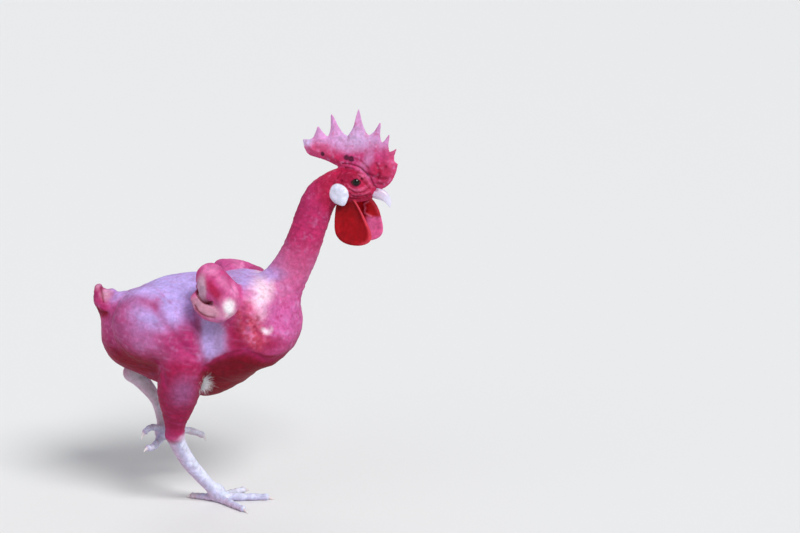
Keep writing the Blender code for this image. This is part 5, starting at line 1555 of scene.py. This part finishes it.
def body_tones(points, normals, drift, fine):
    """The trunk, legs and tail: patches of pink, lilac, magenta and crimson; the lilac on top is partly
    painted light, and there are painted highlights on the breast and painted shade underneath, in creases
    and beside the wing.
    """
    shifted = points + 0.003 * np.stack([fine, drift, fine], axis=1)
    # lilac on skin that faces up, partly its own tone and partly painted light from above
    upper = steps_between(normals[:, 2], 0.35, 0.9) * (points[:, 0] < 0.06)
    tone = mixed(even("rose", points), "lilac", 0.6 * upper)
    tone = painted(tone, shifted, PATCHES)
    wide = noise(points + 9.0, 0.013)
    rows = noise(slanted(points, 0.25), TONE_ROWS)
    tone = flecked(tone, rows, ROW_FLECKS)
    tone = flecked(tone, noise(points + 3.0, 0.0042) + 0.6 * fine + 0.5 * wide, BODY_FLECKS)
    # painted shade on low skin that faces down
    under = steps_between(-normals[:, 2], 0.1, 0.8) * (points[:, 2] < 0.235)
    tone = mixed(tone, "deep", 0.75 * under)
    # painted shade in the tail's creases
    tone = lined(tone, points, TAIL_CREASES, "deep", 0.7, 0.7)
    # dark patches, some of them painted shade and painted shadow
    tone = painted(tone, shifted, DARK_PATCHES)
    tone = mixed(tone, "flank", 0.09 * steps_between(rows, 0.0, 1.2))
    rash = patch_share(shifted, RASH, RASH_SOFTNESS)
    spots = two_grains(points, 0.004, 0.002, 0.5)
    tone = flecked(mixed(tone, "rash", 0.8 * rash), spots, RASH_FLECKS, rash)
    bare = patch_share(points, FLECKED_BREAST, 0.7)
    tone = mixed(tone, "magenta", 0.6 * bare * steps_between(-spots - 0.4 * wide, 0.0, 1.1))
    tone = mixed(tone, "pale", 0.85 * patch_share(shifted, SCAB, 0.7))
    # the belly's crimson, partly its own tone and partly painted shade
    tone = mixed(tone, "deep", 0.97 * belly_share(points))
    # magenta along the body's creases: painted shade
    for side, path, width, _ in CREASES:
        tone = mixed(tone, "magenta", 0.45 * crease_share(points, side, path, 1.1 * width))
    return tone


def neck_tones(points, normals, drift):
    """Pink low on the neck, crimson higher up, lilac behind."""
    along = along_neck(points)
    tone = mixed(even("neck_low", points), "neck", steps_between(along + 0.02 * drift, 0.04, 0.13))
    behind = steps_between(-normals[:, 0], -0.1, 0.8) * (1.0 - steps_between(along, 0.04, 0.1))
    tone = mixed(tone, "lilac", 0.45 * behind)
    return flecked(tone, noise(points + 7.0, 0.003) + 0.7 * noise(points, 0.0075), NECK_FLECKS)


def wing_tones(points, tone, fine):
    """Rose of the wings over the body's tones: pink patches on both, among them painted highlight streaks,
    the others on the near one, among them the wrist's pale skin with a painted highlight.
    """
    tone = mixed(tone, "wing", 0.92)
    shifted = points + 0.002 * fine[:, None]
    for name, share, softness, patch in WING_PATCHES:
        own = share * (points[:, 1] < 0.0) if name != "wing_pink" else share
        tone = mixed(tone, name, own * patch_share(shifted, patch, softness))
    return tone


def shank_tones(points, normals, drift, fine):
    """Whitish lilac shanks, palest in front, partly painted highlight, and rosy behind, the far one greyer.
    """
    tone = mixed(even("shank", points), "far_shank", points[:, 1] > 0.0)
    # painted highlight, partly the skin's own paleness, where the shanks face ahead and up
    turned = normals[:, 0] + 0.4 * normals[:, 2] + 0.4 * drift + 0.3 * fine
    return flecked(tone, turned, SHANK_FLECKS)


def skin_tones(points, normals, masks):
    """Colour of the skin at each point, from named tones and places."""
    local = to_head(points)
    drift = fractal(points, 0.03, 3)
    fine = fractal(points + 5.0, 0.007, 3)
    tone = body_tones(points, normals, drift, fine)
    tone = mixed(tone, neck_tones(points, normals, drift), masks["neck"])
    tone = mixed(tone, face_tones(local, fine), 0.92 * masks["head"])
    tone = mixed(tone, wing_tones(points, tone, fine), masks["wing"])
    # painted shade in the gaps between the near wing's parts
    for path, width, share in WING_LINES:
        tone = mixed(tone, "deep", share * line_share(points, path, width) * near_wing(points))
    tone = mixed(tone, comb_tones(local, drift, fine), masks["comb"])
    tone = mixed(tone, wattle_tones(local, fine), masks["wattle"])
    tone = mixed(tone, "lobe", masks["lobe"])
    tone = mixed(tone, shank_tones(points, normals, drift, fine), masks["shank"])
    # painted shade in the folds of the head
    dark = np.zeros(len(points))
    for path, width, _ in HEAD_CREASES:
        dark = np.maximum(dark, line_share(local, path, 0.8 * width))
    dark *= masks["head"] * (1.0 - masks["lobe"]) * (1.0 - masks["wattle"])
    tone = mixed(tone, "deep", 0.5 * dark)
    # painted shade round each eye's opening, on the lids' rims
    tone = mixed(tone, "scab_and_lid_shade", 0.8 * masks["lid"])
    tone = tone * (1.0 + 0.12 * drift + 0.1 * fine)[:, None]
    for x, z, radius in COMB_SCABS:
        spot = np.hypot(local[:, 0] - x, 1.15 * (local[:, 2] - z))
        spot += 0.0016 * fine + 0.0008 * noise(local, 0.002)
        tone = mixed(tone, "scab_and_lid_shade", 0.92 * (1.0 - steps_between(spot, 0.55 * radius, radius)) * masks["comb"])
    return np.clip(tone, 0.0, 1.0)


def build_skin():
    """The one continuous skin, with its relief, tones and attributes."""
    point, normal = np.array(NECK_JOIN[0]), np.array(NECK_JOIN[1])
    normal /= np.linalg.norm(normal)
    halves = []
    for box, cell, way in ((BODY_BOX, BODY_CELL, 1.0), (HEAD_BOX, FINE_CELL, -1.0)):
        whole = faceted_skin(skin_field, *box, cell)
        halves.append(cut_back(*whole, Vector(point - way * normal * JOIN_HALF_WIDTH), Vector(way * normal)))
    points, triangles = stitched(*halves, point, normal)
    points, triangles = refined(points, triangles, np.ones(len(points), dtype=bool))
    points, triangles = refined(points, triangles, points[:, 2] < FINE_BELOW)
    normals = normals_of(points, triangles)
    masks = skin_masks(points)
    heights = np.where(points[:, 2] < GROUNDED, 0.0, relief(points, masks))
    tones = skin_tones(points, normals, masks)
    points = points + normals * heights[:, None]
    points[:, 2] = np.maximum(points[:, 2], FLOOR)
    item = piece("skin_whole", points, triangles.tolist(), skin_material(), {
        "pores": np.prod([1.0 - masks[key] for key in SMOOTHNESS], axis=0),
        "smooth": sum(share * masks[key] for key, share in SMOOTHNESS.items()),
    })
    colours = item.data.color_attributes.new("tone", "FLOAT_COLOR", "POINT")
    colours.data.foreach_set("color", np.hstack([tones, np.ones((len(tones), 1))]).ravel())
    return item


# Materials

def feed(tree, socket, value):
    """Links another node's output to an input, or sets the input to a plain value."""
    if isinstance(value, bpy.types.NodeSocket):
        tree.links.new(value, socket)
    else:
        socket.default_value = value


def add_node(tree, kind, *sources, **values):
    """A node of this kind: sources go to its first inputs in order, values to what they name."""
    made = tree.nodes.new(kind)
    for socket, source in zip(made.inputs, sources):
        feed(tree, socket, source)
    for key, value in values.items():
        if hasattr(made, key):
            setattr(made, key, value)
        else:
            feed(tree, made.inputs[key], value)
    return made


def ramp(tree, source, stops):
    """A colour ramp over the source, from its stops of position and colour."""
    made = add_node(tree, "ShaderNodeValToRGB", source)
    elements = made.color_ramp.elements
    for element, (position, colour) in zip(elements, (stops[0], stops[-1])):
        element.position = position
        element.color = (*colour, 1.0)
    for position, colour in stops[1:-1]:
        elements.new(position).color = (*colour, 1.0)
    return made.outputs["Color"]


def new_material(name):
    """A new material, its node tree and the place that its textures use."""
    made = bpy.data.materials.new(name)
    made.use_nodes = True
    return made, made.node_tree, add_node(made.node_tree, "ShaderNodeTexCoord").outputs["Object"]


def set_shader(made, settings):
    """Feeds the inputs of the material's shader that the settings name, and gives the material back."""
    shader = made.node_tree.nodes["Principled BSDF"]
    for key, value in settings.items():
        feed(made.node_tree, shader.inputs[key], value)
    return made


def skin_material():
    """Bare skin: the tone of each place with fine mottling, small veins, pores and creases."""
    made, tree, place = new_material("bare_skin")
    tone, pores, smooth = (
        add_node(tree, "ShaderNodeAttribute", attribute_name=name) for name in ("tone", "pores", "smooth")
    )
    mottle = add_node(tree, "ShaderNodeTexNoise", place, Scale=260.0, Detail=5.0, Roughness=0.62)
    veins = add_node(tree, "ShaderNodeTexNoise", place, Scale=75.0, Detail=4.0, Roughness=0.55,
                     Distortion=1.6)
    follicles = add_node(tree, "ShaderNodeTexVoronoi", place, Scale=330.0, Randomness=0.75)
    grain = add_node(tree, "ShaderNodeTexNoise", place, Scale=900.0, Detail=3.0, Roughness=0.6)
    bright = add_node(tree, "ShaderNodeMapRange", mottle.outputs["Fac"], 0.3, 0.7, 0.87, 1.15)
    shade = add_node(tree, "ShaderNodeMapRange", veins.outputs["Fac"], 0.35, 0.65, 0.86, 1.1)
    both = add_node(tree, "ShaderNodeMath", bright.outputs[0], shade.outputs[0], operation="MULTIPLY")
    tinted = add_node(tree, "ShaderNodeVectorMath", tone.outputs["Color"], operation="SCALE",
                      Scale=both.outputs[0])
    gloss = add_node(tree, "ShaderNodeMapRange", smooth.outputs["Fac"], 0.0, 1.0, 0.6, 0.34)
    pits = add_node(tree, "ShaderNodeMapRange", follicles.outputs["Distance"], 0.0, 0.45)
    held = add_node(tree, "ShaderNodeMath", pits.outputs[0], pores.outputs["Fac"], operation="MULTIPLY")
    rough = add_node(tree, "ShaderNodeMath", held.outputs[0], grain.outputs["Fac"], operation="ADD")
    bump = add_node(tree, "ShaderNodeBump", Strength=0.55, Distance=0.00035, Height=rough.outputs[0])
    return set_shader(made, {
        "Base Color": tinted.outputs[0],
        "Roughness": gloss.outputs[0],
        "Normal": bump.outputs["Normal"],
        "Subsurface Weight": 0.12,
        "Subsurface Radius": (1.0, 0.3, 0.2),
        "Subsurface Scale": 0.004,
        "Specular IOR Level": 0.13,
    })


def along_and_noise(tree, place, share, **values):
    """The attribute "along" with a share of noise added, and that noise."""
    along = add_node(tree, "ShaderNodeAttribute", attribute_name="along")
    texture = add_node(tree, "ShaderNodeTexNoise", place, **values)
    shift = add_node(tree, "ShaderNodeMath", texture.outputs["Fac"], share, along.outputs["Fac"],
                     operation="MULTIPLY_ADD")
    return shift.outputs[0], texture.outputs["Fac"]


def horn_material(name, low, high, roughness, scale):
    """Horn that runs from one tone to another along the attribute "along", with faint streaks."""
    made, tree, place = new_material(name)
    shift, streaks = along_and_noise(tree, place, 0.5, Scale=scale, Detail=4.0, Roughness=0.6)
    bump = add_node(tree, "ShaderNodeBump", Strength=0.3, Distance=0.0002, Height=streaks)
    return set_shader(made, {
        "Base Color": ramp(tree, shift, ((0.2, low), (1.0, high))),
        "Normal": bump.outputs["Normal"],
        "Roughness": roughness,
        "Subsurface Weight": 0.08,
        "Subsurface Scale": 0.002,
    })


def eye_material():
    """Dark pupil, dark brown iris with fine rays and a darker rim, under a clear gloss."""
    made, tree, place = new_material("eye_gloss")
    shift, _ = along_and_noise(tree, place, 0.05, Scale=1100.0, Detail=3.0)
    return set_shader(made, {
        "Base Color": ramp(tree, shift, EYE_STOPS),
        "Roughness": 0.08,
        "Specular IOR Level": 0.3,
    })


def down_material():
    """Soft white down."""
    made, tree, place = new_material("white_down")
    tufts = add_node(tree, "ShaderNodeTexNoise", place, Scale=400.0, Detail=3.0)
    return set_shader(made, {
        "Base Color": ramp(tree, tufts.outputs["Fac"], DOWN_STOPS),
        "Roughness": 0.85,
        "Subsurface Weight": 0.3,
        "Subsurface Scale": 0.002,
    })


# Pieces

def new_object(name, data):
    """An object in the scene that holds this data."""
    item = bpy.data.objects.new(name, data)
    bpy.context.scene.collection.objects.link(item)
    return item


def piece(name, points, faces, made, layers=None):
    """A smooth piece of this material, with named layers of one value for each point."""
    mesh = bpy.data.meshes.new(name)
    mesh.from_pydata((np.asarray(points) + np.array(OFFSET)).tolist(), [], faces)
    mesh.shade_smooth()
    mesh.materials.append(made)
    for key, values in (layers or {}).items():
        mesh.attributes.new(key, "FLOAT", "POINT").data.foreach_set("value", values)
    return new_object(name, mesh)


def circle(count):
    """Cosine and sine of equal turns round a circle."""
    return [(math.cos(2 * math.pi * k / count), math.sin(2 * math.pi * k / count)) for k in range(count)]


def bands(rows, count, base=0):
    """Faces between neighbouring rings with this many points each."""
    faces = []
    for low in range(base, base + (rows - 1) * count, count):
        for k in range(count):
            j = (k + 1) % count
            faces.append((low + k, low + j, low + count + j, low + count + k))
    return faces


def loft(rings):
    """Points and faces through rings with the same number of points, closed at both ends."""
    count = len(rings[0])
    faces = bands(len(rings), count)
    faces.append(tuple(range(count))[::-1])
    faces.append(tuple(range((len(rings) - 1) * count, len(rings) * count)))
    return np.vstack(rings), faces


def build_eye(side, made):
    """Eyeball with a slight bulge of its clear front."""
    centre, axis, ahead, up = eye_axes(side)
    rings, segments = 40, 48
    points, along = [], []
    for i in range(1, rings):
        turn = math.pi * i / rings
        reach = EYE_RADIUS * (1.0 + EYE_BULGE * math.exp(-(turn / EYE_BULGE_REACH) ** 2))
        for c, s in circle(segments):
            out = ahead * c + up * s
            points.append(from_head(centre + reach * (axis * math.cos(turn) + out * math.sin(turn))))
            along.append(turn / (0.5 * math.pi))
    front, back = len(points), len(points) + 1
    points.append(from_head(centre + axis * EYE_RADIUS * (1.0 + EYE_BULGE)))
    points.append(from_head(centre - axis * EYE_RADIUS))
    along += [0.0, 2.0]
    faces = bands(rings - 1, segments)
    last = (rings - 2) * segments
    for k in range(segments):
        j = (k + 1) % segments
        faces.append((front, j, k))
        faces.append((back, last + k, last + j))
    label = SIDE_NAMES[side]
    item = piece("eyeball_" + label, points, faces, made, {"along": along})
    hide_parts("eye_" + label)
    return item


def build_beak(stations, name, made):
    """One half of the beak, with its nostrils sunk in and a soft ridge."""
    rows = smooth_curve([(*ridge, *edge, half) for ridge, edge, half in stations], 8)
    rings, along = [], []
    for i, (ridge_x, ridge_z, edge_x, edge_z, half) in enumerate(rows):
        ring = []
        for c, s in circle(36):
            rise = s if s > 0 else EDGE_ROUNDING * s
            x, z = edge_x + (ridge_x - edge_x) * rise, edge_z + (ridge_z - edge_z) * rise
            place = np.array([x, c * half, z])
            sunk = 0.0
            if name == "upper":
                for side in (RIGHT, LEFT):
                    gap = (place - np.array(NOSTRIL_CENTRE) * (1.0, side, 1.0)) / NOSTRIL_REACH
                    sunk = max(sunk, math.exp(-float(gap @ gap) ** 1.5))
                place[1] *= 1.0 - NOSTRIL_DEPTH * sunk
            ring.append(from_head(place))
            along.append(i / (len(rows) - 1) - 1.2 * sunk)
        rings.append(ring)
    item = piece("beak_horn_" + name, *loft(rings), made, {"along": along})
    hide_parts("beak_" + name)
    return item


def build_claw(side, name, made):
    """Curved claw from the end of its toe, flat below and narrow across."""
    tip, heading, upward, sideways, curl = toe_path(side, name)[1]
    direction = foot_frame(side)[2][name][0]
    steps, sides = 14, 16
    centre = tip - heading * CLAW_SEAT
    rings, along = [], []
    for i in range(steps):
        t = i / (steps - 1)
        turn = curl + CLAW_CURVE * t
        forward = direction * math.cos(turn) - upward * math.sin(turn)
        if i:
            centre = centre + forward * (CLAW_LENGTH + CLAW_SEAT) / (steps - 1)
        above = np.cross(forward, sideways)
        size = CLAW_RADIUS * (1.0 - t ** 1.4) + CLAW_POINT
        ring = []
        for c, s in circle(sides):
            rise = size * CLAW_HEIGHT * s * (1.0 if s > 0 else CLAW_FLATNESS)
            ring.append(centre + sideways * size * CLAW_NARROWING * c + above * rise)
        if side == RIGHT:
            ring = [np.array((x, y, max(z, FLOOR))) for x, y, z in ring]
        rings.append(ring)
        along += [t] * sides
    label = SIDE_NAMES[side] + "_" + name
    item = piece("horn_" + label, *loft(rings), made, {"along": along})
    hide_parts("claw_" + label)
    return item


def build_tuft(made):
    """The small tuft of white down in front of the standing leg's knee."""
    random = np.random.default_rng(TUFT_SEED)
    steps, sides = 5, 3
    count = steps * sides
    points, faces = [], []
    for barb in range(TUFT_BARBS):
        spread = random.normal(0.0, 1.0, 3)
        spread /= np.linalg.norm(spread)
        start = np.array(TUFT_ROOT) + TUFT_ROOT_RADIUS * spread
        heading = np.array(TUFT_HEADING) + 0.75 * spread
        heading /= np.linalg.norm(heading)
        bend = random.normal(0.0, 0.75, 3)
        length = TUFT_LENGTH * random.uniform(0.55, 1.1)
        across = np.cross(heading, (0.3, 0.2, 0.9))
        across /= np.linalg.norm(across)
        other = np.cross(heading, across)
        for i in range(steps):
            t = i / (steps - 1)
            middle = start + length * (heading * t + bend * t * t * 0.5)
            size = BARB_RADIUS * (1.0 - 0.8 * t)
            points += [middle + size * (across * c + other * s) for c, s in circle(sides)]
        base = barb * count
        end = base + count - sides
        faces += bands(steps, sides, base)
        faces += [(base + 2, base + 1, base), (end, end + 1, end + 2)]
    item = piece("down_tuft", points, faces, made)
    unwrap = item.data.uv_layers.new(name="OFBake")
    for loop in item.data.loops:
        barb, corner = divmod(loop.vertex_index, count)
        unwrap.data[loop.index].uv = (0.1 + 0.004 * (barb % 20) + 0.0006 * (corner % sides),
                                      0.1 + 0.004 * (barb // 20) + 0.0006 * (corner // sides))
    return item


# Room, lights and camera

def build_floor():
    """The plain pale floor."""
    made, _, _ = new_material("pale_floor")
    set_shader(made, {"Base Color": FLOOR_COLOUR, "Roughness": 0.8})
    mesh = bpy.data.meshes.new("floor")
    ends = ((-1, -1), (1, -1), (1, 1), (-1, 1))
    corners = [(x * FLOOR_REACH, y * FLOOR_REACH, -FLOOR_GAP) for x, y in ends]
    mesh.from_pydata(corners, [], [(0, 1, 2, 3)])
    mesh.materials.append(made)
    floor = new_object("floor", mesh)


def build_light(name, place, strength, spread):
    """Broad even light from one side, whose shadows are soft."""
    data = bpy.data.lights.new(name, "SUN")
    data.energy = strength
    data.angle = math.radians(spread)
    item = new_object(name, data)
    item.location = place
    item.rotation_euler = (-Vector(place)).to_track_quat("-Z", "Y").to_euler()


def build_camera():
    """The camera at the place from which the photo was taken."""
    data = bpy.data.cameras.new("camera")
    data.lens = CAMERA_LENS
    data.sensor_width = CAMERA_SENSOR
    item = new_object("camera", data)
    item.location = Vector(CAMERA_PLACE) + OFFSET
    item.rotation_euler = (math.pi / 2 + CAMERA_PITCH, 0.0, -CAMERA_HEADING)
    bpy.context.scene.camera = item


def build():
    """The bird, the room, the lights and the camera."""
    skin = build_skin()
    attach(skin, "root")
    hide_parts(*FLESH_NODES)
    eye = eye_material()
    beak = horn_material("beak_horn", *BEAK_TONES, 0.3, 300.0)
    claw = horn_material("claw_horn", *CLAW_TONES, 0.35, 500.0)
    hard = [build_beak(UPPER_BEAK, "upper", beak), build_beak(LOWER_BEAK, "lower", beak)]
    for side in (RIGHT, LEFT):
        hard.append(build_eye(side, eye))
        for name in TOE_SPECS:
            hard.append(build_claw(side, name, claw))
    hard.append(build_tuft(down_material()))
    for item in hard:
        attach(item, "root")
    build_floor()
    for light in LIGHTS:
        build_light(*light)
    world = bpy.data.worlds.new("studio")
    bpy.context.scene.world = world
    world.use_nodes = True
    world.node_tree.nodes["Background"].inputs["Color"].default_value = WORLD_COLOUR
    world.node_tree.nodes["Background"].inputs["Strength"].default_value = WORLD_STRENGTH
    bpy.context.scene.view_settings.view_transform = "Standard"
    build_camera()


build()
